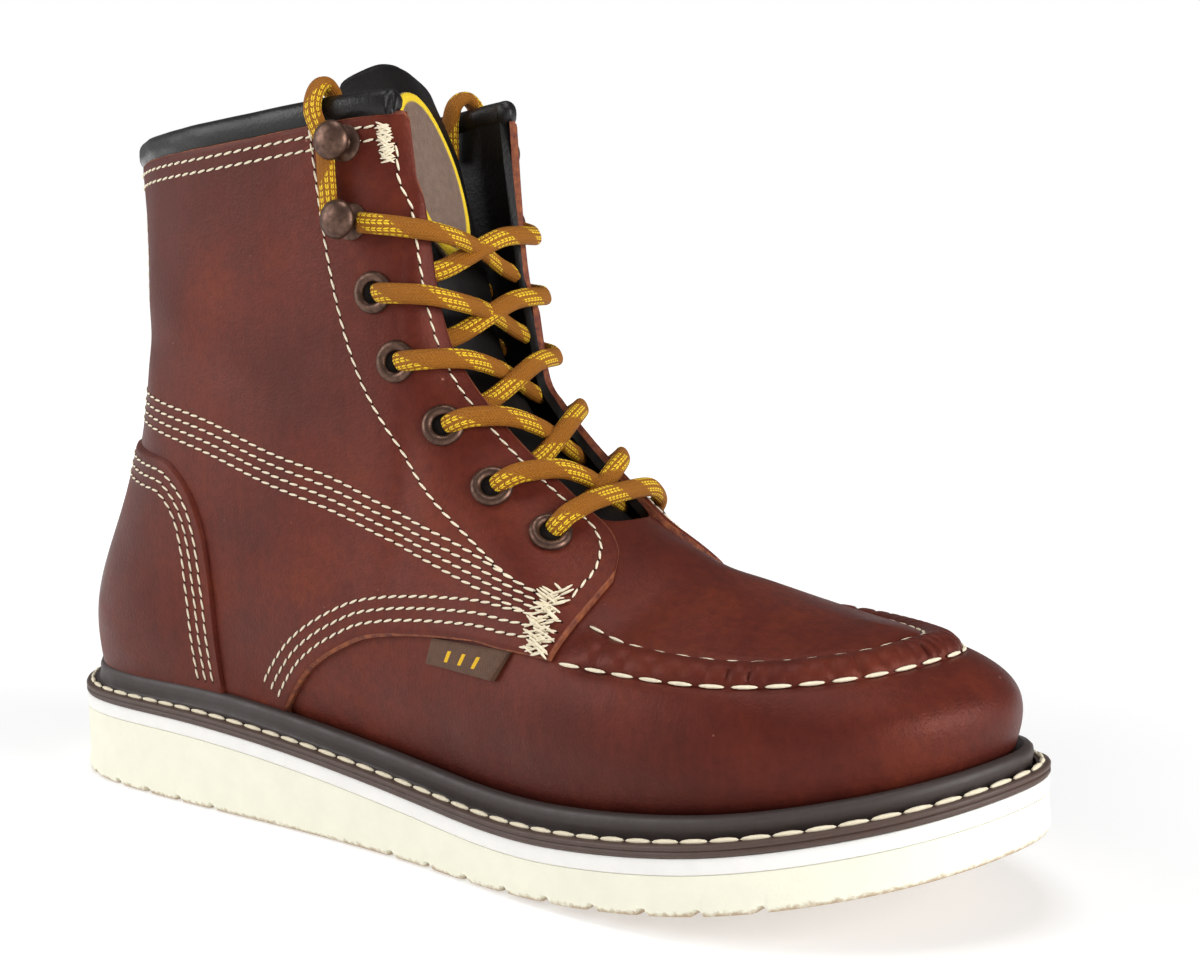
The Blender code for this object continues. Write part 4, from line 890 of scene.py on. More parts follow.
def make_lace_finish(colours):
    """Braided lace: slanted yarns along the tube's own map, yellow yarn groups, and painted shade between
    yarns.
    """
    tree, shader, _, dye = start_finish("braided_lace", 60.0, 0.72, 0.0, 0.3)
    along, turn = chart_parts(tree)[:2]
    rows = times(tree, turn, 18.0)
    pair = math_node(tree, "PINGPONG", rows, 1.0)
    lean = math_node(tree, "MULTIPLY_ADD", pair, 0.55, times(tree, along, 0.62))
    yarn = math_node(tree, "PINGPONG", lean, 0.5)
    seam = math_node(tree, "PINGPONG", rows, 0.5)
    wave = math_node(tree, "SINE", times(tree, yarn, 2 * math.pi))
    relief = times(tree, wave, span(tree, seam, 0.0, 0.25, 0.25, 1.0))
    slant = math_node(tree, "ADD", times(tree, along, 1 / 21.0), times(tree, turn, -1.0))
    group = span(tree, math_node(tree, "PINGPONG", slant, 0.5), 0.26, 0.3)
    dash = span(tree, yarn, 0.1, 0.2)
    stripe = times(tree, span(tree, seam, 0.06, 0.18), span(tree, pair, 0.38, 0.52, 0.06, 1.0))
    fleck = times(tree, times(tree, group, dash), stripe)
    base = blend(tree, times(tree, dye["Fine"], 0.5), colours.lace, tinted(colours.lace, 0.62))
    # Painted shade: the lace darkens where its relief sinks between the yarns
    base = blend(tree, span(tree, relief, 0.0, 0.5, 0.45, 0.0), base, tinted(colours.lace, 0.5))
    tree.links.new(blend(tree, fleck, base, colours.fleck), shader.inputs["Base Color"])
    bump(tree, shader, relief, 0.55, 0.0006)


def make_tape_finishes():
    """Woven tag and oval patch: plain weave with a plain yellow motif."""
    for name, ground, line in (("tag_weave", srgb(98, 70, 54), srgb(226, 178, 30)),
                               ("patch_weave", srgb(122, 100, 88), srgb(222, 190, 40))):
        tree, shader, _, dye = start_finish(name, 120.0, 0.7, 0.0, 0.3)
        warp, weft = [math_node(tree, "SINE", times(tree, part, 7.0)) for part in chart_parts(tree)[:2]]
        weave = times(tree, warp, weft)
        worn = times(tree, dye["Small"], 0.6)
        colour = blend(tree, worn, ground, tinted(ground, 0.6))
        mark = add_node(tree, "ShaderNodeAttribute", attribute_name="motif").outputs["Fac"]
        colour = blend(tree, span(tree, mark, 0.4, 0.6), colour, line)
        tree.links.new(colour, shader.inputs["Base Color"])
        bump(tree, shader, math_node(tree, "MULTIPLY_ADD", weave, 0.4, mark), 0.5, 0.0004)


def mesh_object(name, points, faces, finishes, indices=None):
    """Smooth mesh piece from boot millimetres, riding on the boot."""
    mesh = bpy.data.meshes.new(name)
    mesh.from_pydata(world(points).tolist(), [], faces)
    for finish in finishes:
        mesh.materials.append(Finishes.made[finish])
    if indices is not None:
        mesh.polygons.foreach_set("material_index", indices)
    mesh.shade_smooth()
    mesh.update()
    return link(name, mesh)


def add_object(name, data):
    """New object in the scene."""
    thing = bpy.data.objects.new(name, data)
    bpy.context.scene.collection.objects.link(thing)
    return thing


def link(name, mesh):
    """Object for a finished mesh, riding on the boot."""
    thing = add_object(name, mesh)
    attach(thing, BODY)
    return thing


def sharpen(thing, degrees=50):
    """Keep the edges of a smooth mesh that bend more than an angle crisp."""
    thing.data.set_sharp_from_angle(angle=math.radians(degrees))


def grid_faces(columns, rows, closed=False):
    """Quads of a grid stored column by column."""
    faces = []
    for i in range(columns if closed else columns - 1):
        j = (i + 1) % columns
        faces += [(i * rows + k, j * rows + k, j * rows + k + 1, i * rows + k + 1) for k in range(rows - 1)]
    return faces


def shell(name, outer, inner, finishes, raw=0):
    """Closed sheet of leather between an outer and an inner grid; finishes are outer, inner and edge.

    raw is the number of rows of outer faces beside the borders that take the edge's finish.
    """
    columns, rows = outer.shape[:2]
    first = columns * rows
    over = grid_faces(columns, rows)
    under = [tuple(first + k for k in reversed(face)) for face in over]
    rim = []
    for i in range(columns - 1):
        a, b = i * rows, (i + 1) * rows
        rim.append((b, a, first + a, first + b))
        rim.append((a + rows - 1, b + rows - 1, first + b + rows - 1, first + a + rows - 1))
    last = (columns - 1) * rows
    for k in range(rows - 1):
        rim.append((k, k + 1, first + k + 1, first + k))
        rim.append((last + k + 1, last + k, first + last + k, first + last + k + 1))
    points = np.concatenate((outer.reshape(-1, 3), inner.reshape(-1, 3)))
    place = np.arange(len(over))
    row = np.minimum(place % (rows - 1), rows - 2 - place % (rows - 1))
    column = np.minimum(place // (rows - 1), columns - 2 - place // (rows - 1))
    face = np.where(np.minimum(row, column) < raw, 2, 0)
    indices = face.tolist() + [1] * len(under) + [2] * len(rim)
    thing = mesh_object(name, points, over + under + rim, finishes, indices)
    sharpen(thing)
    return thing


def leather_panel(name, t, v, out, base, finishes, round_by=EDGE_DROP, raw=0):
    """Panel laid on the upper, with its border rounded down; also its outer grid without the rounding."""
    skin = upper(t, v)[0]
    normal = upper_normal(t, v)
    lift = folds(skin)
    drop = round_by * np.exp(-(border(skin) / EDGE_REACH) ** 2)
    outer = skin + normal * (out + lift - drop)[..., None]
    inner = skin + normal * (base + lift)[..., None]
    return shell(name, outer, inner, finishes, raw), skin + normal * (out + lift)[..., None]


def throat_half(x):
    """Half width of the throat, closing in a round end."""
    part = (x - THROAT_ROUND) / (THROAT_END - THROAT_ROUND)
    closing = THROAT_ROUND_HALF * np.sqrt(np.clip(1 - part ** 2, 0, 1))
    return np.where(x < THROAT_ROUND, table(THROAT_HALF, x), closing)


def moc_relief(x, v, marks, run):
    """Raised moccasin seam: a puckered roll between two sewn grooves."""
    across = (v - marks[..., 2]) / (marks[..., 3] - marks[..., 2])
    inside = np.clip(across, 0, 1)
    within = (across > 0) & (across < 1)
    roll = np.where(within, np.sin(np.pi * inside) ** 0.8, 0.0)
    beat = run / PLEAT_PITCH + 0.3 * np.sin(run / 11.0) + 0.22 * inside
    pleat = np.exp(-((beat - np.round(beat)) / 0.15) ** 2) * (0.65 + 0.35 * np.sin(run / 5.3))
    pucker = pleat * np.where(within, np.sin(np.pi * inside ** 0.55), 0.0)
    outer = np.exp(-((across + 0.02) / 0.09) ** 2)
    inner = np.exp(-((across - 1.03) / 0.08) ** 2)
    relief = MOC_RIDGE * roll - PLEAT_DEPTH * pucker - OUTER_GROOVE * outer - INNER_GROOVE * inner
    return relief * ease((x - MOC_FROM) / MOC_FADE)


def build_upper():
    """Upper: hollow wall over the last with the moccasin seam, lined in black."""
    seam_from = float(station(SEAM_FROM, LATERAL))
    along = np.concatenate((np.linspace(0, seam_from, 80), np.linspace(seam_from, TOE, 125)))
    x = np.concatenate((np.interp(along, SIDE_T[LATERAL], SIDE_X[LATERAL]), np.linspace(*ROUND_END, 20)))
    x = np.unique(x)
    both = np.concatenate((x, x[-2:0:-1]))
    t = around(x)
    count = len(t)
    marks = upper(t, np.zeros(count))[1].copy()
    collar = v_at_height(t, table(COLLAR_LINE, both) - BINDING_DROP + WALL_UNDER_BINDING)
    throat = np.where(both < THROAT_HALF[0, 0], 1.0, v_at_half(t, throat_half(both)))
    marks[:, 4] = np.where(both >= THROAT_END, 1.0, np.minimum(collar, throat))
    rows = []
    for k, steps in enumerate((10, 15, 24, 30)):
        low, high = marks[:, k:k + 1], marks[:, k + 1:k + 2]
        rows.append(low + (high - low) * np.arange(steps) / steps)
    v = np.concatenate(rows + [marks[:, 4:5]], 1)
    wide_t = np.broadcast_to(t[:, None], v.shape)
    skin, levels = upper(wide_t, v)
    normal = upper_normal(wide_t, v)
    run = lengths(sole_edge(t))[:, None]
    relief = moc_relief(both[:, None], v, levels, run) + folds(skin)
    outer = skin + normal * relief[..., None]
    inner = skin - normal * (UPPER_WALL + LINING)
    for grid in (outer, inner):
        for i in range(len(x)):
            if x[i] >= THROAT_END:
                ridge = (grid[i, -1] + grid[-i % count, -1]) / 2 * (1, 0, 1)
                grid[i, -1] = ridge
                grid[-i % count, -1] = ridge
    depth = v.shape[1]
    first = count * depth
    over = grid_faces(count, depth, True)
    under = [tuple(first + k for k in reversed(face)) for face in over]
    rim = []
    for i in range(count):
        a, b = i * depth, (i + 1) % count * depth
        rim.append((b, a, first + a, first + b))
        if min(both[i], both[(i + 1) % count]) < THROAT_END:
            a, b = a + depth - 1, b + depth - 1
            rim.append((a, b, first + b, first + a))
    points = np.concatenate((outer.reshape(-1, 3), inner.reshape(-1, 3)))
    thing = mesh_object("upper_leather", points, over + under + rim, ("waxed_leather", "lining_leather"),
                        [0] * len(over) + [1] * (len(under) + len(rim)))
    solid = bmesh.new()
    solid.from_mesh(thing.data)
    bmesh.ops.remove_doubles(solid, verts=solid.verts, dist=WELD * MM)
    solid.to_mesh(thing.data)
    solid.free()
    sharpen(thing, 70)
    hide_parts("upper")


def quarter_grid(side):
    """t and v over one quarter, tucked under counter, backstay, binding and rand."""
    x = QUARTER_SPAN[0] + (QUARTER_SPAN[1] - QUARTER_SPAN[0]) * cluster(180, 190.0)
    x = np.unique(np.concatenate((x, np.linspace(QUARTER_FRONT, QUARTER_SPAN[1], 26))))[:, None]
    part = (x - x[0]) / (x[-1] - x[0])
    t = station(x, side)
    rand = seat(x) + RAND_HEIGHT - TUCK
    low = np.maximum(rand, np.where(x > QUARTER_LOW[0, 0], table(QUARTER_LOW, x), rand))
    bottom = v_at_height(t, low)
    collar = v_at_height(t, table(COLLAR_LINE, x) - BINDING_DROP + PANEL_UNDER_BINDING)
    facing = np.where(x < FACING_HALF[0, 0], 1.0, v_at_half(t, table(FACING_HALF, x)))
    top = np.minimum(collar, facing)
    v = bottom + (top - bottom) * cluster(104, 110.0)[None, :]
    z = upper(np.broadcast_to(t, v.shape), v)[0][..., 2]
    back = table(BACKSTAY_EDGE, z) - TUCK - x[0]
    slant = -FRONT_EDGE_SLANT * np.clip((z[-1, -1] - z) / (z[-1, -1] - z[-1, 0]), 0, 1)
    t = station(x + back * (1 - part) ** 12 + slant * part ** 12, side)
    return (t, v) if side == LATERAL else (t[::-1], v[::-1])


def panel_tree(outer):
    """Search tree over the outer face of a panel."""
    columns, rows = outer.shape[:2]
    return BVHTree.FromPolygons([tuple(p) for p in outer.reshape(-1, 3)], grid_faces(columns, rows))


class Kept:
    """Grids, search trees, seam points and the copying tree that later pieces use."""
    grids = {}
    trees = {}
    seams = {}
    copies = None


def keep_panel(name, outer):
    """Keep the outer grid of a panel and its search tree for the seams."""
    Kept.grids[name] = outer
    Kept.trees[name] = panel_tree(outer)


def build_quarters():
    """Quarters with eyestay on both sides, raw along their edges."""
    for side, word in SIDES:
        t, v = quarter_grid(side)
        name = "quarter_" + word
        thing, outer = leather_panel(name + "_leather", t, v, LAYER, PANEL_BASE, PANEL_FINISHES, raw=2)
        Kept.grids[name] = outer if side == LATERAL else outer[::-1]
        Kept.trees[name] = panel_tree(outer)
        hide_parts(name)


def build_heel():
    """Heel counter and backstay, sewn over the quarters."""
    share = cluster(110, 170.0)
    edge = float(station(COUNTER_TOP[-1, 0], LATERAL))
    inner_edge = float(station(COUNTER_TOP[-1, 0], MEDIAL)) - LOOP
    t = inner_edge + (edge - inner_edge) * share
    x = np.abs(sole_edge(t)[:, 0])
    low = v_at_height(t, seat(x) + RAND_HEIGHT - TUCK)
    high = v_at_height(t, table(COUNTER_TOP, x))
    v = low[:, None] + (high - low)[:, None] * cluster(46, 66.0)[None, :]
    t = np.broadcast_to(t[:, None], v.shape)
    thing, outer = leather_panel("counter_leather", t, v, OVER_LAYER, LAYER - OVER_BASE, HEEL_FINISHES,
                                 HEEL_DROP)
    keep_panel("counter", outer)
    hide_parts("counter")

    foot = COUNTER_TOP[0, 1] - TUCK
    top = COLLAR_LINE[0, 1] - BINDING_DROP + PANEL_UNDER_BINDING
    z = foot + (top - foot) * cluster(60, 80.0)[None, :]
    t = station(table(BACKSTAY_EDGE, z), LATERAL) * (2 * cluster(40, 60.0)[:, None] - 1)
    v = v_at_height(t, np.broadcast_to(z, t.shape))
    lower = BACKSTAY_SINK * np.clip((COUNTER_TOP[0, 1] + 1.5 - z) / 3.0, 0, 1)
    thing, outer = leather_panel("backstay_leather", t, v, OVER_LAYER - lower, OVER_BASE, HEEL_FINISHES,
                                 HEEL_DROP)
    keep_panel("backstay", outer)
    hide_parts("backstay")


def ring_solid(name, points, finishes, indices=None, closed=True):
    """Solid from section loops; points are columns along the piece by points around the section."""
    columns, sides = points.shape[:2]
    faces = []
    for i in range(columns if closed else columns - 1):
        j = (i + 1) % columns
        faces += [(i * sides + k, j * sides + k, j * sides + (k + 1) % sides, i * sides + (k + 1) % sides)
                  for k in range(sides)]
    marks = None
    if indices is not None:
        marks = [indices[k] for _ in range(columns if closed else columns - 1) for k in range(sides)]
    if not closed:
        faces.append(tuple(range(sides)))
        faces.append(tuple((columns - 1) * sides + k for k in reversed(range(sides))))
        marks = None if marks is None else marks + [indices[0], indices[0]]
    return mesh_object(name, points.reshape(-1, 3), faces, finishes, marks)


def build_collar():
    """Bound collar: a padded rim of black leather over the top edge."""
    run = np.linspace(0, 1, 240)
    run = np.unique(np.concatenate((run, run[:8] / 3, 1 - run[:8] / 3)))
    start = station(COLLAR_CORNER, MEDIAL) - LOOP
    t = start + (station(COLLAR_CORNER, LATERAL) - start) * run
    x = np.abs(sole_edge(t)[:, 0])
    middle = table(COLLAR_LINE, x) - BINDING_DROP + COLLAR_MIDDLE
    close = np.sqrt(np.clip(np.minimum(run, 1 - run) / 0.006 + 0.05, 0, 1))
    loops = []
    for angle in np.linspace(0, 2 * math.pi, 25)[:-1]:
        wide, tall = math.cos(angle), math.sin(angle)
        out = COLLAR_SHIFT + COLLAR_HALF * wide * (1 if wide > 0 else COLLAR_INNER)
        rise = COLLAR_RISE * np.sign(tall) * abs(tall) ** 0.8
        swell = 0.18 * np.sin(run * 95 + 2 * tall) * np.sin(run * 37)
        loops.append(on_upper(t, v_at_height(t, middle + rise * close), (out + swell) * close))
    thing = ring_solid("collar_binding_leather", np.stack(loops, 1), ("black_leather",), closed=False)
    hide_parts("collar_binding")


def tongue_points(row, across):
    """Outer face of the tongue at a row number and a place across it from -1 to 1."""
    row, across = np.broadcast_arrays(np.asarray(row, float), np.asarray(across, float))
    rows = np.arange(len(TONGUE), dtype=float)
    columns = [table(np.stack((rows, TONGUE[:, k]), 1), row) for k in range(5)]
    middle_x, middle_z, half, edge_x, edge_z = columns
    x = middle_x + (edge_x - middle_x) * across ** 2
    z = middle_z + (edge_z - middle_z) * across ** 2
    return np.stack((x, half * across, z), -1)


def tongue_normal(row, across):
    """Outward direction of the tongue."""
    e = 0.03
    normal = np.cross(tongue_points(row, across + e) - tongue_points(row, across - e),
                      tongue_points(row + e, across) - tongue_points(row - e, across))
    return unit(normal)


def grid_chart(thing, chart, motif):
    """Map in millimetres and a motif mask on a shell whose grid points come first, then its inner points."""
    mesh = thing.data
    layer = mesh.uv_layers.new(name="along")
    corner = np.zeros(len(mesh.loops), dtype=np.int32)
    mesh.loops.foreach_get("vertex_index", corner)
    both = np.concatenate((chart.reshape(-1, 2), chart.reshape(-1, 2)))
    layer.data.foreach_set("uv", both[corner].ravel())
    mask = mesh.attributes.new("motif", "FLOAT", "POINT")
    mask.data.foreach_set("value", np.concatenate((motif.ravel(), np.zeros(motif.size))))


def build_tongue():
    """Tongue under the throat with a plain oval patch on its front."""
    across = 2 * cluster(50, 42.0)[:, None] - 1
    dome = np.sqrt(1 - np.abs(across) ** TONGUE_ROUND)
    row = (len(TONGUE) - 2 + dome) * cluster(110, 160.0)[None, :]
    skin = tongue_points(row, across)
    normal = tongue_normal(row, across)
    ripple = TONGUE_RIPPLE * np.sin(skin[..., 2] / 5.5) * np.exp(-((np.abs(across) - 0.75) / 0.3) ** 2)
    drop = TONGUE_DROP * np.exp(-(border(skin) / 1.0) ** 2)
    outer = skin + normal * (ripple - drop)[..., None]
    inner = skin + normal * (drop - TONGUE_THICKNESS)[..., None]
    thing = shell("tongue_leather", outer, inner, ("lining_leather",) * 3)
    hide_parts("tongue")

    side = np.linspace(-1, 1, 41)
    u, w = np.meshgrid(side, side, indexing="ij")
    middle = sum(PATCH_ROWS) / 2
    reach = (PATCH_ROWS[1] - PATCH_ROWS[0]) / 2
    flat_u = u * np.sqrt(1 - w * w / 2)
    flat_w = w * np.sqrt(1 - u * u / 2)
    row, across = middle + reach * flat_w, PATCH_HALF * flat_u
    skin = tongue_points(row, across)
    normal = tongue_normal(row, across)
    far = np.sqrt(flat_u ** 2 + flat_w ** 2)
    swell = 0.5 * np.exp(-((far - PATCH_RIM) / 0.06) ** 2) - 0.6 * np.clip((far - 0.96) / 0.04, 0, 1)
    thing = shell("tongue_patch_weave", skin + normal * (PATCH_HEIGHT + swell)[..., None],
                  skin + normal * OVER_BASE, ("patch_weave",) * 3)
    chart = np.stack((flat_u * PATCH_WEAVE[0], flat_w * PATCH_WEAVE[1]), -1)
    grid_chart(thing, chart, np.clip(1 - np.abs(far - PATCH_RIM) / 0.15, 0, 1))
    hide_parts("tongue_patch")


def build_tag():
    """Plain woven tag held by the lower seam of the outer quarter, with three plain bars."""
    across = np.linspace(0, 1, 61)[:, None]
    down = np.linspace(0, 1, 25)[None, :]
    corner = np.array(TAG_CORNERS)
    top = corner[0] + (corner[1] - corner[0]) * across[..., None]
    foot = corner[3] + (corner[2] - corner[3]) * across[..., None]
    plan = foot + (top - foot) * down[..., None]
    shape = plan.shape[:2]
    t, v = at_place(plan[..., 0].ravel(), plan[..., 1].ravel(), LATERAL)
    t, v = t.reshape(shape), v.reshape(shape)
    skin, normal = upper(t, v)[0], upper_normal(t, v)
    drop = 0.4 * np.exp(-(border(skin) / 0.5) ** 2)
    lift = TAG_HEIGHT + TAG_LIFT * (1 - down) - drop
    thing = shell("side_tag_weave", skin + normal * lift[..., None], skin + normal * OVER_BASE,
                  ("tag_weave",) * 3)
    bars = np.abs(across * 5 % 1 - 0.5) < 0.16
    motif = bars & (across > 0.2) & (across < 0.8) & (down > 0.22) & (down < 0.66)
    chart = np.stack(np.broadcast_arrays(across * TAG_WEAVE[0], down * TAG_WEAVE[1]), -1)
    grid_chart(thing, chart, motif.astype(float))
    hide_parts("side_tag")


def spaced(count):
    """Distances from the heel, closer together at heel and toe."""
    return SOLE_LENGTH / 2 * (1 - np.cos(np.linspace(0, math.pi, count)))


def loop_at(t, inset, height):
    """Loop of points inset from the sole edge, at a height worked out from x."""
    plan = sole_edge(t, inset)
    return np.column_stack((plan, height(plan[:, 0])))


def groove(x):
    """Depth of the tread grooves at x, as a share of the full depth."""
    depth = np.zeros(np.shape(x))
    for first, count in LUG_ROWS:
        for k in range(count):
            away = np.abs(np.asarray(x) - first - LUG_PITCH * k)
            depth = np.maximum(depth, ease((LUG_GROOVE / 2 + 0.35 - away) / 0.7))
    return depth


def stacked(name, rings, finishes):
    """Closed solid from loops stacked upward, capped by rungs from side to side."""
    count = len(rings[0])
    half = count // 2
    rungs = [(0, 1, count - 1), (half - 1, half, half + 1)]
    rungs += [(i, i + 1, count - i - 1, count - i) for i in range(1, half - 1)]
    top = count * (len(rings) - 1)
    faces = [face[::-1] for face in rungs] + [tuple(top + k for k in face) for face in rungs]
    for k in range(len(rings) - 1):
        low, high = k * count, (k + 1) * count
        faces += [(low + i, low + (i + 1) % count, high + (i + 1) % count, high + i) for i in range(count)]
    thing = mesh_object(name, np.concatenate(rings), faces, finishes)
    sharpen(thing, 45)
    return thing


def build_sole():
    """Cream wedge with its tread and the white strip above it."""
    t = around(np.unique(np.concatenate((spaced(190), np.arange(*TREAD_COLUMNS)))))
    rings = [loop_at(t, inset, lambda x: spring(x) + up + share * LUG_DEPTH * groove(x))
             for inset, up, share in WEDGE_RINGS]
    rings += [loop_at(t, inset, lambda x: seat(x) - STRIP_THICKNESS - below) for inset, below in WEDGE_TOP]
    thing = stacked("wedge_rubber", rings, ("cream_rubber",))
    height = np.concatenate([ring[:, 2] - spring(ring[:, 0]) for ring in rings])
    mark = thing.data.attributes.new("above_floor", "FLOAT", "POINT")
    mark.data.foreach_set("value", height)
    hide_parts("outsole")

    t = around(spaced(200))
    rings = [loop_at(t, inset, lambda x: seat(x) - STRIP_THICKNESS + up) for inset, up in STRIP_RINGS]
    thing = stacked("strip_rubber", rings, ("white_rubber",))
    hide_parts("midsole")


def build_welt():
    """Welt: brown lip with a groove around its side, and the dark rand leaning on the leather."""
    t = around(spaced(210))
    foot = sole_edge(t, FEATHER_INSET)[:, 0]
    loops = [loop_at(t, inset, lambda x: seat(x) + up) for inset, up in LIP_RINGS]
    loops += [on_upper(t, v_at_height(t, seat(foot) + up), out) for out, up in RAND_RINGS]
    loops.append(on_upper(t, np.zeros(len(t)), RAND_FOOT))
    loops += [loop_at(t, WELT_INSIDE, lambda x: seat(x) + up) for up in (WELT_LIP, WELT_UNDER)]
    finish = [0] * (len(LIP_RINGS) - 1) + [1] * (len(RAND_RINGS) + 2) + [0, 0]
    thing = ring_solid("welt_rubber", np.stack(loops, 1), ("lip_rubber", "rand_rubber"), finish)
    sharpen(thing, 60)
    Kept.seams["welt"] = loop_at(t, WELT_SEAM_INSET, lambda x: seat(x) + WELT_SEAM_HEIGHT)
    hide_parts("welt")


def facing_edge(side):
    """Stations, heights v and points along the facing edge, from collar to throat."""
    x = np.linspace(FACING_HALF[0, 0] + 2, FACING_HALF[-4, 0], 80)
    t = station(x, side)
    v = v_at_half(t, table(FACING_HALF, x))
    return x, v, upper(t, v)[0]


def facing_place(z, side):
    """t and v of the facing edge where that edge has a given height."""
    x, _, edge = facing_edge(side)
    place = np.interp(z, edge[::-1, 2], x[::-1])
    t = np.array((float(station(place, side)),))
    return t, v_at_half(t, table(FACING_HALF, np.array((place,))))


def across_throat(point):
    """t and v on the inner side, as far from its facing edge as an outer point is from the other."""
    outer = facing_edge(LATERAL)[2]
    reach = np.linalg.norm(outer - point, axis=1)
    x, v, edge = facing_edge(MEDIAL)
    nearest = int(np.abs(edge[:, 2] - outer[reach.argmin(), 2]).argmin())
    ahead = unit(edge[min(nearest + 1, len(edge) - 1)] - edge[max(nearest - 1, 0)])
    grid_t = station(x[nearest] - np.linspace(0, 40, 81)[:, None], MEDIAL) + np.zeros((1, 81))
    grid_v = np.minimum(v[nearest] + np.linspace(-0.5, 0.4, 81)[None, :], 1) + np.zeros((81, 1))
    away = upper(grid_t, grid_v)[0] - edge[nearest]
    miss = (np.linalg.norm(away, axis=-1) - reach.min()) ** 2 + (away @ ahead) ** 2
    best = np.unravel_index(miss.argmin(), miss.shape)
    return grid_t[best] * np.ones(1), grid_v[best] * np.ones(1)


def lace_place(index, side):
    """t and v of an eyelet or hook."""
    x, z = LACE_PLACES[index]
    matched = side == MEDIAL and index < EYELETS
    t = np.array((float(station(x, LATERAL if matched else side)),))
    v = v_at_height(t, z)
    return across_throat(upper(t, v)[0][0]) if matched else (t, v)


def copies_tree():
    """Geometry Nodes: a copy of an object at each point, turned and sized by the point's own attributes."""
    tree = bpy.data.node_groups.new("placed_copies", "GeometryNodeTree")
    tree.interface.new_socket(name="Geometry", in_out="INPUT", socket_type="NodeSocketGeometry")
    copy = tree.interface.new_socket(name="Copy", in_out="INPUT", socket_type="NodeSocketObject")
    finish = tree.interface.new_socket(name="Finish", in_out="INPUT", socket_type="NodeSocketMaterial")
    tree.interface.new_socket(name="Geometry", in_out="OUTPUT", socket_type="NodeSocketGeometry")
    given = tree.nodes.new("NodeGroupInput").outputs
    named = {}
    for label in ("along", "out", "size"):
        made = add_node(tree, "GeometryNodeInputNamedAttribute", {"Name": label}, data_type="FLOAT_VECTOR")
        named[label] = made.outputs["Attribute"]
    lie = add_node(tree, "FunctionNodeAlignRotationToVector", {"Vector": named["along"]}, axis="X")
    face = add_node(tree, "FunctionNodeAlignRotationToVector",
                    {"Rotation": lie.outputs[0], "Vector": named["out"]}, axis="Z", pivot_axis="X")
    shape = add_node(tree, "GeometryNodeObjectInfo", {"Object": given["Copy"], "As Instance": True})
    placed = add_node(tree, "GeometryNodeInstanceOnPoints", {
        "Points": given["Geometry"], "Instance": shape.outputs["Geometry"], "Rotation": face.outputs[0],
        "Scale": named["size"]})
    real = add_node(tree, "GeometryNodeRealizeInstances", {"Geometry": placed.outputs[0]})
    dressed = add_node(tree, "GeometryNodeSetMaterial", {
        "Geometry": real.outputs[0], "Material": given["Finish"]})
    end = tree.nodes.new("NodeGroupOutput")
    tree.links.new(dressed.outputs[0], end.inputs["Geometry"])
    return tree, copy.identifier, finish.identifier


def place_copies(name, shape, finish, points, along, out, size):
    """One mesh of placed copies of a small shape."""
    tree, copy, cover = Kept.copies
    mesh = bpy.data.meshes.new(name + "_points")
    mesh.from_pydata(world(points).tolist(), [], [])
    for label, values in (("along", along), ("out", out), ("size", size)):
        made = mesh.attributes.new(label, "FLOAT_VECTOR", "POINT")
        made.data.foreach_set("vector", np.broadcast_to(np.asarray(values, float), (len(points), 3)).ravel())
    holder = add_object(name + "_points", mesh)
    source = add_object(name + "_shape", shape)
    modifier = holder.modifiers.new("copies", "NODES")
    modifier.node_group = tree
    modifier[copy] = source
    modifier[cover] = Finishes.made[finish]
    bpy.context.view_layer.update()
    result = bpy.data.meshes.new_from_object(holder.evaluated_get(bpy.context.evaluated_depsgraph_get()))
    result.name = name
    for label in ("along", "out", "size"):
        if label in result.attributes:
            result.attributes.remove(result.attributes[label])
    bpy.data.objects.remove(holder)
    bpy.data.objects.remove(source)
    result.shade_smooth()
    return link(name, result)


def stitch_shape():
    """One stitch of thread: a rounded bar, one millimetre long, wide and high before it is sized."""
    mesh = bpy.data.meshes.new("stitch")
    solid = bmesh.new()
    bmesh.ops.create_uvsphere(solid, u_segments=6, v_segments=5, radius=0.5 * MM)
    for vert in solid.verts:
        x, y, z = vert.co
        vert.co = (z, -y, x)
    bmesh.ops.recalc_face_normals(solid, faces=solid.faces)
    solid.to_mesh(mesh)
    solid.free()
    return mesh


def turned_shape(name, profile, steps):
    """Mesh turned about its own Z axis from radius and height in millimetres, closed at the axis."""
    mesh = bpy.data.meshes.new(name)
    solid = bmesh.new()
    rings = []
    for radius, height in profile:
        if radius == 0:
            rings.append([solid.verts.new((0, 0, height * MM))])
            continue
        rings.append([solid.verts.new((radius * math.cos(a) * MM, radius * math.sin(a) * MM, height * MM))
                      for a in np.linspace(0, 2 * math.pi, steps, endpoint=False)])
    for low, high in zip(rings, rings[1:]):
        for k in range(steps):
            n = (k + 1) % steps
            corners = [low[k % len(low)], low[n % len(low)], high[n % len(high)], high[k % len(high)]]
            solid.faces.new(list(dict.fromkeys(corners)))
    bmesh.ops.recalc_face_normals(solid, faces=solid.faces)
    solid.to_mesh(mesh)
    solid.free()
    return mesh


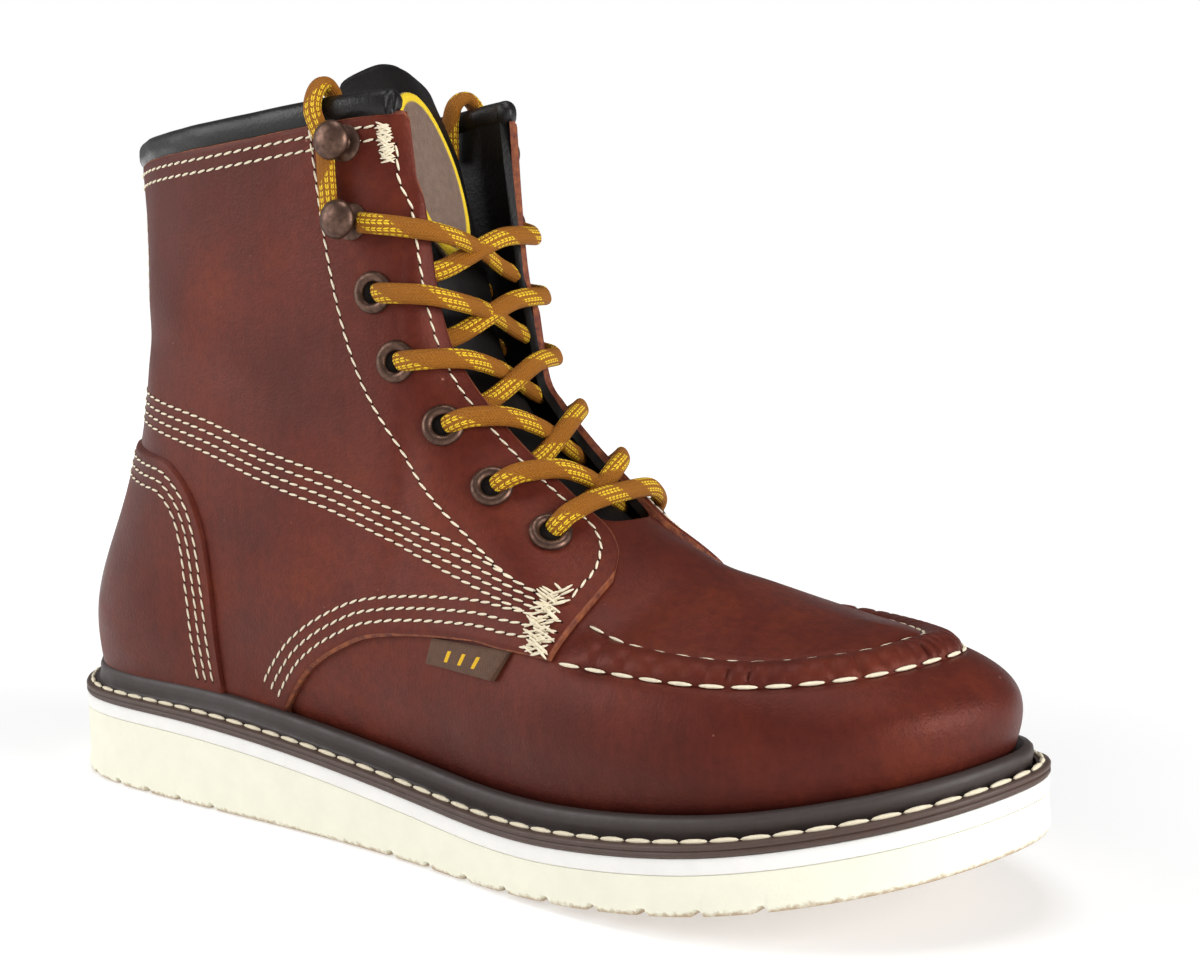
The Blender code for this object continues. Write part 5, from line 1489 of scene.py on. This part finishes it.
def build_fittings():
    """Five rolled eyelets and two ball hooks on each side of the throat."""
    eyelet = turned_shape("eyelet", EYELET_PROFILE, 40)
    hook = turned_shape("hook", HOOK_PROFILE, 32)
    # Dark disc in each eyelet: painted shade in its hole
    eyelet_shade_disc = turned_shape("eyelet_shade_disc", EYELET_SHADE_PROFILE, 24)
    places = {"eyelet": [], "hook": []}
    for side, _ in SIDES:
        for index in range(len(LACE_PLACES)):
            t, v = lace_place(index, side)
            kind = "eyelet" if index < EYELETS else "hook"
            places[kind].append((on_upper(t, v, LAYER + FITTING_LIFT)[0], upper_normal(t, v)[0]))
    for kind, shape, finish in (("eyelet", eyelet, "antique_metal"), ("hook", hook, "antique_metal"),
                                ("eyelet", eyelet_shade_disc, "painted_hole_shade")):
        points = np.array([p for p, _ in places[kind]])
        out = np.array([n for _, n in places[kind]])
        name = kind + ("s_metal" if finish == "antique_metal" else "s_hollow")
        thing = place_copies(name, shape, finish, points, np.cross((0, 0, 1), out), out, (1, 1, 1))
        if finish == "antique_metal":
            count = EYELETS if kind == "eyelet" else len(LACE_PLACES) - EYELETS
            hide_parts(*[f"{kind}_{word}_{k + 1}" for _, word in SIDES for k in range(count)])
            sharpen(thing, 55)


def smooth_route(points, count):
    """Evenly spaced points of a smooth curve through a route."""
    points = np.asarray(points, float)
    reach = np.concatenate(((0,), np.cumsum(np.sqrt(np.linalg.norm(np.diff(points, axis=0), axis=1)))))
    slope = np.gradient(points, reach, axis=0)
    fine = np.linspace(0, reach[-1], 40 * len(points))
    i = np.clip(np.searchsorted(reach, fine, side="right") - 1, 0, len(points) - 2)
    step = (reach[i + 1] - reach[i])[:, None]
    u = (fine - reach[i])[:, None] / step
    curve = (1 + 2 * u) * (1 - u) ** 2 * points[i] + u * (1 - u) ** 2 * step * slope[i]
    curve += u * u * (3 - 2 * u) * points[i + 1] - u * u * (1 - u) * step * slope[i + 1]
    return resample(curve, count)


def lace_tube(name, route, wide):
    """Oval braided lace along a route; wide is the direction across its flat side at the start and end."""
    line = smooth_route(route, LACE_POINTS)
    ahead = unit(np.gradient(line, axis=0))
    share = np.linspace(0, 1, len(line))[:, None]
    side = np.asarray(wide[0]) * (1 - share) + np.asarray(wide[1]) * share
    side = unit(side - ahead * (side * ahead).sum(1)[:, None])
    up = np.cross(ahead, side)
    turn = np.linspace(0, 2 * math.pi, LACE_SIDES, endpoint=False)
    flat = np.sign(np.cos(turn)) * np.abs(np.cos(turn)) ** LACE_SQUARE * LACE_HALF[0]
    tall = np.sign(np.sin(turn)) * np.abs(np.sin(turn)) ** LACE_SQUARE * LACE_HALF[1]
    points = line[:, None] + side[:, None] * flat[None, :, None] + up[:, None] * tall[None, :, None]
    thing = ring_solid(name, points, ("braided_lace",), closed=False)
    length = lengths(line)
    chart = []
    for i in range(len(line) - 1):
        for k in range(len(turn)):
            a, b = k / len(turn), (k + 1) / len(turn)
            chart += [(length[i], a), (length[i + 1], a), (length[i + 1], b), (length[i], b)]
    chart += [(0, 0)] * (2 * len(turn))
    layer = thing.data.uv_layers.new(name="along")
    layer.data.foreach_set("uv", np.array(chart).ravel())
    return thing, line


def over_leather(index, side, z):
    """Lace from inside an eyelet, or from a hook, to the facing edge at a height."""
    start_t, start_v = lace_place(index, side)
    start = on_upper(start_t, start_v, LAYER)[0]
    edge = on_upper(*facing_place(z, side), LAYER)[0]
    tree = Kept.trees["quarter_" + dict(SIDES)[side]]
    route = []
    if index < EYELETS:
        route.append(on_upper(start_t, start_v, IN_EYELET)[0])
    for part, lift in EYELET_PATH if index < EYELETS else HOOK_PATH:
        spot, normal = tree.find_nearest(Vector(start + (edge - start) * part))[:2]
        route.append(np.array(spot) + np.array(normal) * (LACE_HALF[1] + lift))
    return route


def throat_line(side):
    """Direction of the facing edge from collar to throat."""
    edge = facing_edge(side)[2]
    return unit(edge[-1] - edge[0])


def strand_route(index, side):
    """Strand from its eyelet or hook over its facing, across the throat and under the far facing."""
    high, low = LACE_PLACES[index][1], LACE_PLACES[index - 1][1]
    bow = STRAND_BOW - BOW_STEP * index
    route = over_leather(index, side, low + NEAR_SHARE * (high - low) + bow)
    t, v = facing_place(low + FAR_SHARE * (high - low) + bow, -side)
    far = on_upper(t, v, FAR_DIP[0])[0] + (0, side * FAR_DIP[1], 0)
    under = on_upper(t, v, FAR_END[0])[0] + (0, side * FAR_END[1], FAR_END[2])
    crest = (route[-1] + far) / 2 + CREST * STRAND_LIFT[side]
    return np.array((*route, crest, far, under))


def build_laces():
    """Bar at the throat and the crossings above it, running through the eyelets."""
    near = over_leather(0, LATERAL, BAR_HEIGHT)
    far = over_leather(0, MEDIAL, BAR_HEIGHT)
    middle = (near[-1] + far[-1]) / 2 + CREST
    wide = (throat_line(LATERAL), throat_line(MEDIAL))
    thing, _ = lace_tube("lace_bar_braid", (*near, middle, *far[::-1]), wide)
    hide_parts("lace_bar")
    for index in range(1, EYELETS + 1):
        for side, word in SIDES:
            wide = (throat_line(side), throat_line(-side))
            thing, _ = lace_tube(f"lace_{index + 1}_{word}_braid", strand_route(index, side), wide)
            if side == LATERAL:
                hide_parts(f"lace_cross_{index + 1}")


def build_lace_ends():
    """Lace ends behind the hooks, over the collar and a little way down inside."""
    for side, word in SIDES:
        seats = []
        for index in (EYELETS, EYELETS + 1):
            t, v = lace_place(index, side)
            seats.append((on_upper(t, v, LAYER)[0], upper_normal(t, v)[0]))
        (low, low_out), (high, high_out) = seats
        back = np.array((-1.0, 0, 0)) * (LACE_RADIUS + HOOK_NECK + CLEAR)
        lift = LACE_RADIUS + END_LIFT
        x = LACE_PLACES[-1][0] - COLLAR_STEP
        t = np.array((float(station(x, side)),))
        rim = float(table(COLLAR_LINE, np.array(x)))
        route = [low + low_out * lift + back, (low + high) / 2 + (low_out + high_out) / 2 * lift + back,
                 high + high_out * lift + back]
        for out, drop, rise in COLLAR_WRAP:
            route.append(on_upper(t, v_at_height(t, rim - drop), out)[0] + (0, 0, rise))
        thing, line = lace_tube(f"lace_end_{word}_braid", np.array(route), ((1, 0, 0), (1, 0, 0)))
        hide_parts("lace_end_" + word)


def seam_points(line, pitch, tree=None, lift=0.0, normals=None):
    """Stitch places along a line laid on a face: points, directions and normals."""
    line = np.asarray(line, float)
    length = lengths(line)
    count = max(2, int(round(length[-1] / pitch)))
    at = (np.arange(count) + 0.5) / count * length[-1]
    points = values_at(line, length, at)
    if tree is not None:
        found = [tree.find_nearest(Vector(p)) for p in points]
        points = np.array([f[0] for f in found])
        normals = np.array([f[1] for f in found])
    else:
        normals = values_at(normals, length, at)
    return points + normals * lift, unit(np.gradient(points, axis=0)), normals


def parallel(edge, tree, distance):
    """Line on a face, a given distance inside the left of an edge line."""
    edge = resample(edge, 160)
    normals = np.array([tree.find_nearest(Vector(p))[1] for p in edge])
    inward = np.cross(normals, unit(np.gradient(edge, axis=0)))
    kernel = np.ones(9) / 9
    padded = np.concatenate((np.repeat(inward[:1], 4, 0), inward, np.repeat(inward[-1:], 4, 0)))
    inward = np.stack([np.convolve(padded[:, k], kernel, "valid") for k in range(3)], 1)
    return edge + unit(inward) * distance


def thinned(line):
    """Line without points that lie close behind the one before."""
    return line[np.concatenate(((True,), np.linalg.norm(np.diff(line, axis=0), axis=1) > CLOSE))]


def above_rand(line, clear):
    """Part of a line that clears the rand."""
    return line[line[:, 2] > seat(line[:, 0]) + RAND_HEIGHT + clear]


def side_line(rows, side):
    """Line on one side of the boot from a table of distances from the heel and heights."""
    x = np.linspace(rows[0, 0], rows[-1, 0], 60)
    return on_upper(*at_place(x, table(rows, x), side), LAYER)


def upright_line(rows, side):
    """Line on one side of the boot from a table that runs downward."""
    z = np.linspace(rows[0, 1], rows[-1, 1], 60)
    return on_upper(*at_place(table(rows[::-1, ::-1], z), z, side), LAYER)


def panel_seams(side, word):
    """Lines of the sewn rows on one quarter."""
    name = "quarter_" + word
    grid, tree = Kept.grids[name], Kept.trees[name]
    low = grid[:, 0]
    low = above_rand(low[low[:, 0] > LOW_FROM], EDGE_CLEAR)
    low = low if side == LATERAL else low[::-1]
    rows = [above_rand(parallel(low, tree, distance), ROW_CLEAR) for distance in LOW_ROWS]
    top, foot = side_line(BAND_TOP, side), side_line(BAND_LOW, side)
    rows += [top + (foot - top) * share for share in BAND_SHARES]
    rows.append(upright_line(EYESTAY, side))
    upper_edge = grid[:, -1]
    front = grid[-1, ::-1]
    facing = thinned(np.concatenate((upper_edge[upper_edge[:, 0] > FACING_FROM], front[1:])))
    facing = facing[facing[:, 2] < FACING_HEIGHTS[1]]
    facing = facing[::-1] if side == LATERAL else facing
    row = parallel(facing, tree, FACING_ROW)
    rows.append(row[row[:, 2] > FACING_HEIGHTS[0]])
    return rows, tree


def collar_seams(side):
    """Two rows under the bound collar on one side."""
    x = np.linspace(*COLLAR_REACH, 90)
    t = station(x, side)
    return [on_upper(t, v_at_height(t, table(COLLAR_LINE, x) - (BINDING_DROP + below)), LAYER)
            for below in COLLAR_ROWS]


def heel_seams():
    """Three rows beside the counter's edge and two beside each edge of the backstay."""
    grid, tree = Kept.grids["counter"], Kept.trees["counter"]
    edge = thinned(np.concatenate((grid[0, 12:-1], grid[:, -1], grid[-1, -2:11:-1])))
    rows = [(above_rand(parallel(edge, tree, -distance), ROW_CLEAR), tree) for distance in COUNTER_ROWS]
    grid, tree = Kept.grids["backstay"], Kept.trees["backstay"]
    for edge, way in ((grid[0], -1), (grid[-1], 1)):
        edge = edge[(edge[:, 2] > COUNTER_TOP[0, 1] + 3) & (edge[:, 2] < BACKSTAY_END)]
        rows += [(parallel(edge, tree, way * distance), tree) for distance in BACKSTAY_ROWS]
    return rows


def moc_seam(level, x_from):
    """Line and normals of the moccasin seam at a level of the sections, around the toe."""
    x = np.concatenate((np.linspace(x_from, MOC_TIP, 60), np.linspace(MOC_TIP + 0.5, SOLE_LENGTH, 30)))
    t = np.concatenate((station(x, LATERAL), station(x[-2::-1], MEDIAL)))
    v = upper(t, np.zeros(len(t)))[1][:, level]
    return upper(t, v)[0], upper_normal(t, v)


def gather(rows):
    """Points, directions and normals of several rows in one."""
    return [np.concatenate(part) for part in zip(*rows)]


def tack(side, rng, place, half, count):
    """Dense bar tack around a place on one side: points, directions and normals."""
    share = np.linspace(-1, 1, count)
    x = place[0] - 0.16 * half[1] * share + rng.uniform(-half[0], half[0], count)
    z = place[1] + half[1] * share
    t, v = at_place(x, z, side)
    points = on_upper(t, v, LAYER)
    normals = upper_normal(t, v)
    lean = (np.where(np.arange(count) % 2, 0.5, -0.25) + rng.normal(0, 0.12, count))[:, None]
    along = np.cross(normals, (0, 0, 1.0)) * -side * np.cos(lean) + np.array((0, 0, 1.0)) * np.sin(lean)
    return points + normals * rng.uniform(0.1, 0.5, count)[:, None], along, normals


def build_stitching(sizes):
    """All sewn rows: panels, heel, collar, moccasin seam, welt and the bar tacks."""
    shape = stitch_shape()
    pitch, width = sizes.stitch_pitch, sizes.stitch_width
    rows = []
    for side, word in SIDES:
        lines, tree = panel_seams(side, word)
        rows += [seam_points(line, pitch, tree, STITCH_LIFT) for line in lines + collar_seams(side)]
    rows += [seam_points(line, pitch, tree, STITCH_LIFT) for line, tree in heel_seams()]
    points, along, out = gather(rows)
    lean = math.radians(STITCH_LEAN)
    slant = along * math.cos(lean) + np.cross(out, along) * math.sin(lean)
    thing = place_copies("panel_stitches", shape, "cream_thread", points, slant, out,
                         (pitch * STITCH_SHARE, width, width * STITCH_SHARE))
    # Dark blobs between the stitches: painted shade in the needle holes
    between = points + along * pitch / 2 - out * HOLE_SINK
    thing = place_copies("panel_needle_holes", shape, "painted_hole_shade", between, along, out, NEEDLE_SHADE_SIZE)

    line, normals = moc_seam(2, MOC_STARTS[0])
    points, along, out = seam_points(line, sizes.moc_pitch, None, MOC_LIFTS[0], normals)
    thing = place_copies("moc_outer_stitches", shape, "cream_thread", points, along, out,
                         (sizes.moc_pitch * MOC_OUTER[0], *MOC_OUTER[1:]))
    line, normals = moc_seam(3, MOC_STARTS[1])
    points, along, out = seam_points(line, MOC_INNER_PITCH, None, MOC_LIFTS[1], normals)
    thing = place_copies("moc_inner_stitches", shape, "cream_thread", points, along, out, MOC_INNER)

    seam = Kept.seams["welt"]
    seam = np.concatenate((seam, seam[:1]))
    upward = np.tile((0, 0, 1.0), (len(seam), 1))
    points, along, out = seam_points(seam, sizes.welt_pitch, None, WELT_LIFT, upward)
    thing = place_copies("welt_stitches", shape, "cream_thread", points, along, out,
                         (sizes.welt_pitch * WELT_THREAD[0], *WELT_THREAD[1:]))

    rng = np.random.default_rng(TACK_SEED)
    points, along, out = gather([tack(side, rng, *spot) for side, _ in SIDES for spot in TACKS])
    thing = place_copies("bar_tacks", shape, "cream_thread", points, along, out, TACK_THREAD)


def build_insole():
    """Finish of the insole board."""
    board = frame["nodes"]["insole"]
    board.data.materials.clear()
    board.data.materials.append(Finishes.made["insole_board"])


def build_stage(sizes):
    """Pale floor, soft studio light and the camera."""
    bpy.context.scene.view_settings.view_transform = "Standard"
    set_floor()
    set_sky(sizes.light)
    for name, place, aim, size, power in LAMPS:
        lamp = bpy.data.lights.new("studio_" + name, "AREA")
        lamp.shape = "DISK"
        lamp.size = size
        lamp.energy = power * sizes.light
        thing = add_object("studio_" + name, lamp)
        thing.location = place
        thing.rotation_euler = (Vector(aim) - Vector(place)).to_track_quat("-Z", "Y").to_euler()
    set_camera()


def set_floor():
    """White floor that glows more the farther it is from the boot."""
    mesh = bpy.data.meshes.new("studio_floor")
    far = FLOOR_HALF
    mesh.from_pydata([(-far, -far, 0), (far, -far, 0), (far, far, 0), (-far, far, 0)], [], [(0, 1, 2, 3)])
    material = bpy.data.materials.new("studio_white")
    material.use_nodes = True
    tree = material.node_tree
    shader = tree.nodes["Principled BSDF"]
    shader.inputs["Base Color"].default_value = FLOOR_GREY
    shader.inputs["Roughness"].default_value = 0.8
    shader.inputs["Specular IOR Level"].default_value = 0.2
    shader.inputs["Emission Color"].default_value = (1, 1, 1, 1)
    away = add_node(tree, "ShaderNodeVectorMath", {0: object_place(tree)}, operation="LENGTH")
    glow = span(tree, away.outputs["Value"], 0.15, 1.2, 0.46, 0.95)
    tree.links.new(glow, shader.inputs["Emission Strength"])
    mesh.materials.append(material)
    floor = add_object("studio_floor", mesh)


def set_sky(light):
    """Soft light from above and from the front, and white behind the boot."""
    sky = bpy.data.worlds.new("studio")
    sky.use_nodes = True
    tree = sky.node_tree
    shade = tree.nodes["Background"]
    coordinate = tree.nodes.new("ShaderNodeTexCoord").outputs["Generated"]
    way = add_node(tree, "ShaderNodeSeparateXYZ", {0: coordinate}).outputs
    glow = times(tree, span(tree, way[2], 0.05, 0.7, 1.0, 0.3),
                     span(tree, way[1], -0.1, 0.5, 1.0, 0.4))
    seen = tree.nodes.new("ShaderNodeLightPath").outputs["Is Camera Ray"]
    strength = math_node(tree, "MAXIMUM", times(tree, glow, SKY_STRENGTH * light), seen)
    tree.links.new(strength, shade.inputs["Strength"])
    shade.inputs["Color"].default_value = (1.0, 1.0, 1.0, 1)
    bpy.context.scene.world = sky


def set_camera():
    """Camera where the picture was taken from."""
    azimuth, elevation, roll = [math.radians(angle) for angle in CAMERA_ANGLES]
    back = Vector((math.sin(azimuth) * math.cos(elevation), -math.cos(azimuth) * math.cos(elevation),
                   math.sin(elevation)))
    level = Vector((math.cos(azimuth), math.sin(azimuth), 0))
    rise = back.cross(level)
    right = level * math.cos(roll) + rise * math.sin(roll)
    up = rise * math.cos(roll) - level * math.sin(roll)
    width, height = PICTURE
    lens = bpy.data.cameras.new("photo_camera")
    lens.sensor_width = SENSOR
    lens.sensor_fit = "HORIZONTAL"
    lens.lens = FOCAL_PIXELS / width * SENSOR
    lens.shift_x = (width / 2 - PICTURE_MIDDLE[0]) / width
    lens.shift_y = (PICTURE_MIDDLE[1] - height / 2) / width
    lens.clip_start = 0.01
    camera = add_object("photo_camera", lens)
    turned = Matrix((right, up, back)).transposed().to_4x4()
    camera.matrix_world = Matrix.Translation(world(CAMERA_PLACE)) @ turned
    bpy.context.scene.camera = camera


class BOOT_OT_finishes(bpy.types.Operator):
    """Make the materials and the tree that places copies"""
    bl_idname = "boot.finishes"
    bl_label = "Finishes"
    bl_options = {"REGISTER", "UNDO"}

    def execute(self, context):
        make_finishes(context.scene.boot_colours)
        Kept.copies = copies_tree()
        return {"FINISHED"}


class BOOT_OT_upper(bpy.types.Operator):
    """Make the hollow upper with its moccasin seam"""
    bl_idname = "boot.upper"
    bl_label = "Upper"
    bl_options = {"REGISTER", "UNDO"}

    def execute(self, context):
        build_upper()
        return {"FINISHED"}


class BOOT_OT_quarters(bpy.types.Operator):
    """Make both quarters with their eyestays"""
    bl_idname = "boot.quarters"
    bl_label = "Quarters"
    bl_options = {"REGISTER", "UNDO"}

    def execute(self, context):
        build_quarters()
        return {"FINISHED"}


class BOOT_OT_heel(bpy.types.Operator):
    """Make the heel counter and the backstay"""
    bl_idname = "boot.heel"
    bl_label = "Heel counter and backstay"
    bl_options = {"REGISTER", "UNDO"}

    def execute(self, context):
        build_heel()
        return {"FINISHED"}


class BOOT_OT_collar(bpy.types.Operator):
    """Make the bound collar"""
    bl_idname = "boot.collar"
    bl_label = "Bound collar"
    bl_options = {"REGISTER", "UNDO"}

    def execute(self, context):
        build_collar()
        return {"FINISHED"}


class BOOT_OT_tongue(bpy.types.Operator):
    """Make the tongue and its patch"""
    bl_idname = "boot.tongue"
    bl_label = "Tongue"
    bl_options = {"REGISTER", "UNDO"}

    def execute(self, context):
        build_tongue()
        return {"FINISHED"}


class BOOT_OT_tag(bpy.types.Operator):
    """Make the plain woven side tag"""
    bl_idname = "boot.tag"
    bl_label = "Side tag"
    bl_options = {"REGISTER", "UNDO"}

    def execute(self, context):
        build_tag()
        return {"FINISHED"}


class BOOT_OT_sole(bpy.types.Operator):
    """Make the wedge sole and the white strip"""
    bl_idname = "boot.sole"
    bl_label = "Sole"
    bl_options = {"REGISTER", "UNDO"}

    def execute(self, context):
        build_sole()
        return {"FINISHED"}


class BOOT_OT_welt(bpy.types.Operator):
    """Make the welt with its rand"""
    bl_idname = "boot.welt"
    bl_label = "Welt"
    bl_options = {"REGISTER", "UNDO"}

    def execute(self, context):
        build_welt()
        return {"FINISHED"}


class BOOT_OT_insole(bpy.types.Operator):
    """Finish the insole board"""
    bl_idname = "boot.insole"
    bl_label = "Insole"
    bl_options = {"REGISTER", "UNDO"}

    def execute(self, context):
        build_insole()
        return {"FINISHED"}


class BOOT_OT_fittings(bpy.types.Operator):
    """Make the eyelets and hooks"""
    bl_idname = "boot.fittings"
    bl_label = "Eyelets and hooks"
    bl_options = {"REGISTER", "UNDO"}

    def execute(self, context):
        build_fittings()
        return {"FINISHED"}


class BOOT_OT_laces(bpy.types.Operator):
    """Make the lace bar and the crossings"""
    bl_idname = "boot.laces"
    bl_label = "Laces"
    bl_options = {"REGISTER", "UNDO"}

    def execute(self, context):
        build_laces()
        return {"FINISHED"}


class BOOT_OT_lace_ends(bpy.types.Operator):
    """Make the lace ends over the collar"""
    bl_idname = "boot.lace_ends"
    bl_label = "Lace ends"
    bl_options = {"REGISTER", "UNDO"}

    def execute(self, context):
        build_lace_ends()
        return {"FINISHED"}


class BOOT_OT_stitching(bpy.types.Operator):
    """Sew every row of stitches"""
    bl_idname = "boot.stitching"
    bl_label = "Stitching"
    bl_options = {"REGISTER", "UNDO"}

    def execute(self, context):
        build_stitching(context.scene.boot_sizes)
        return {"FINISHED"}


class BOOT_OT_stage(bpy.types.Operator):
    """Set the floor, the lights and the camera"""
    bl_idname = "boot.stage"
    bl_label = "Studio"
    bl_options = {"REGISTER", "UNDO"}

    def execute(self, context):
        build_stage(context.scene.boot_sizes)
        return {"FINISHED"}


PIECES = (BOOT_OT_finishes, BOOT_OT_stage, BOOT_OT_lace_ends, BOOT_OT_upper, BOOT_OT_quarters, BOOT_OT_heel,
          BOOT_OT_collar, BOOT_OT_tongue, BOOT_OT_tag, BOOT_OT_sole, BOOT_OT_welt, BOOT_OT_insole,
          BOOT_OT_fittings, BOOT_OT_laces, BOOT_OT_stitching)


class BOOT_PT_panel(bpy.types.Panel):
    """Buttons for the boot's pieces and the values behind them"""
    bl_idname = "BOOT_PT_panel"
    bl_label = "Work boot"
    bl_space_type = "VIEW_3D"
    bl_region_type = "UI"
    bl_category = "Boot"

    def draw(self, context):
        """Draw the values and the buttons."""
        for group in (context.scene.boot_colours, context.scene.boot_sizes):
            for name in group.__annotations__:
                self.layout.prop(group, name)
        for piece in PIECES:
            self.layout.operator(piece.bl_idname)


CLASSES = (BootColours, BootSizes, *PIECES, BOOT_PT_panel)


def register():
    """Register the classes and the values on the scene."""
    for entry in CLASSES:
        bpy.utils.register_class(entry)
    bpy.types.Scene.boot_colours = bpy.props.PointerProperty(type=BootColours)
    bpy.types.Scene.boot_sizes = bpy.props.PointerProperty(type=BootSizes)


def unregister():
    """Take the values and the classes away again."""
    del bpy.types.Scene.boot_sizes
    del bpy.types.Scene.boot_colours
    for entry in reversed(CLASSES):
        bpy.utils.unregister_class(entry)


def main():
    """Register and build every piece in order."""
    register()
    for piece in PIECES:
        family, name = piece.bl_idname.split(".")
        getattr(getattr(bpy.ops, family), name)()


if __name__ == "__main__":
    main()
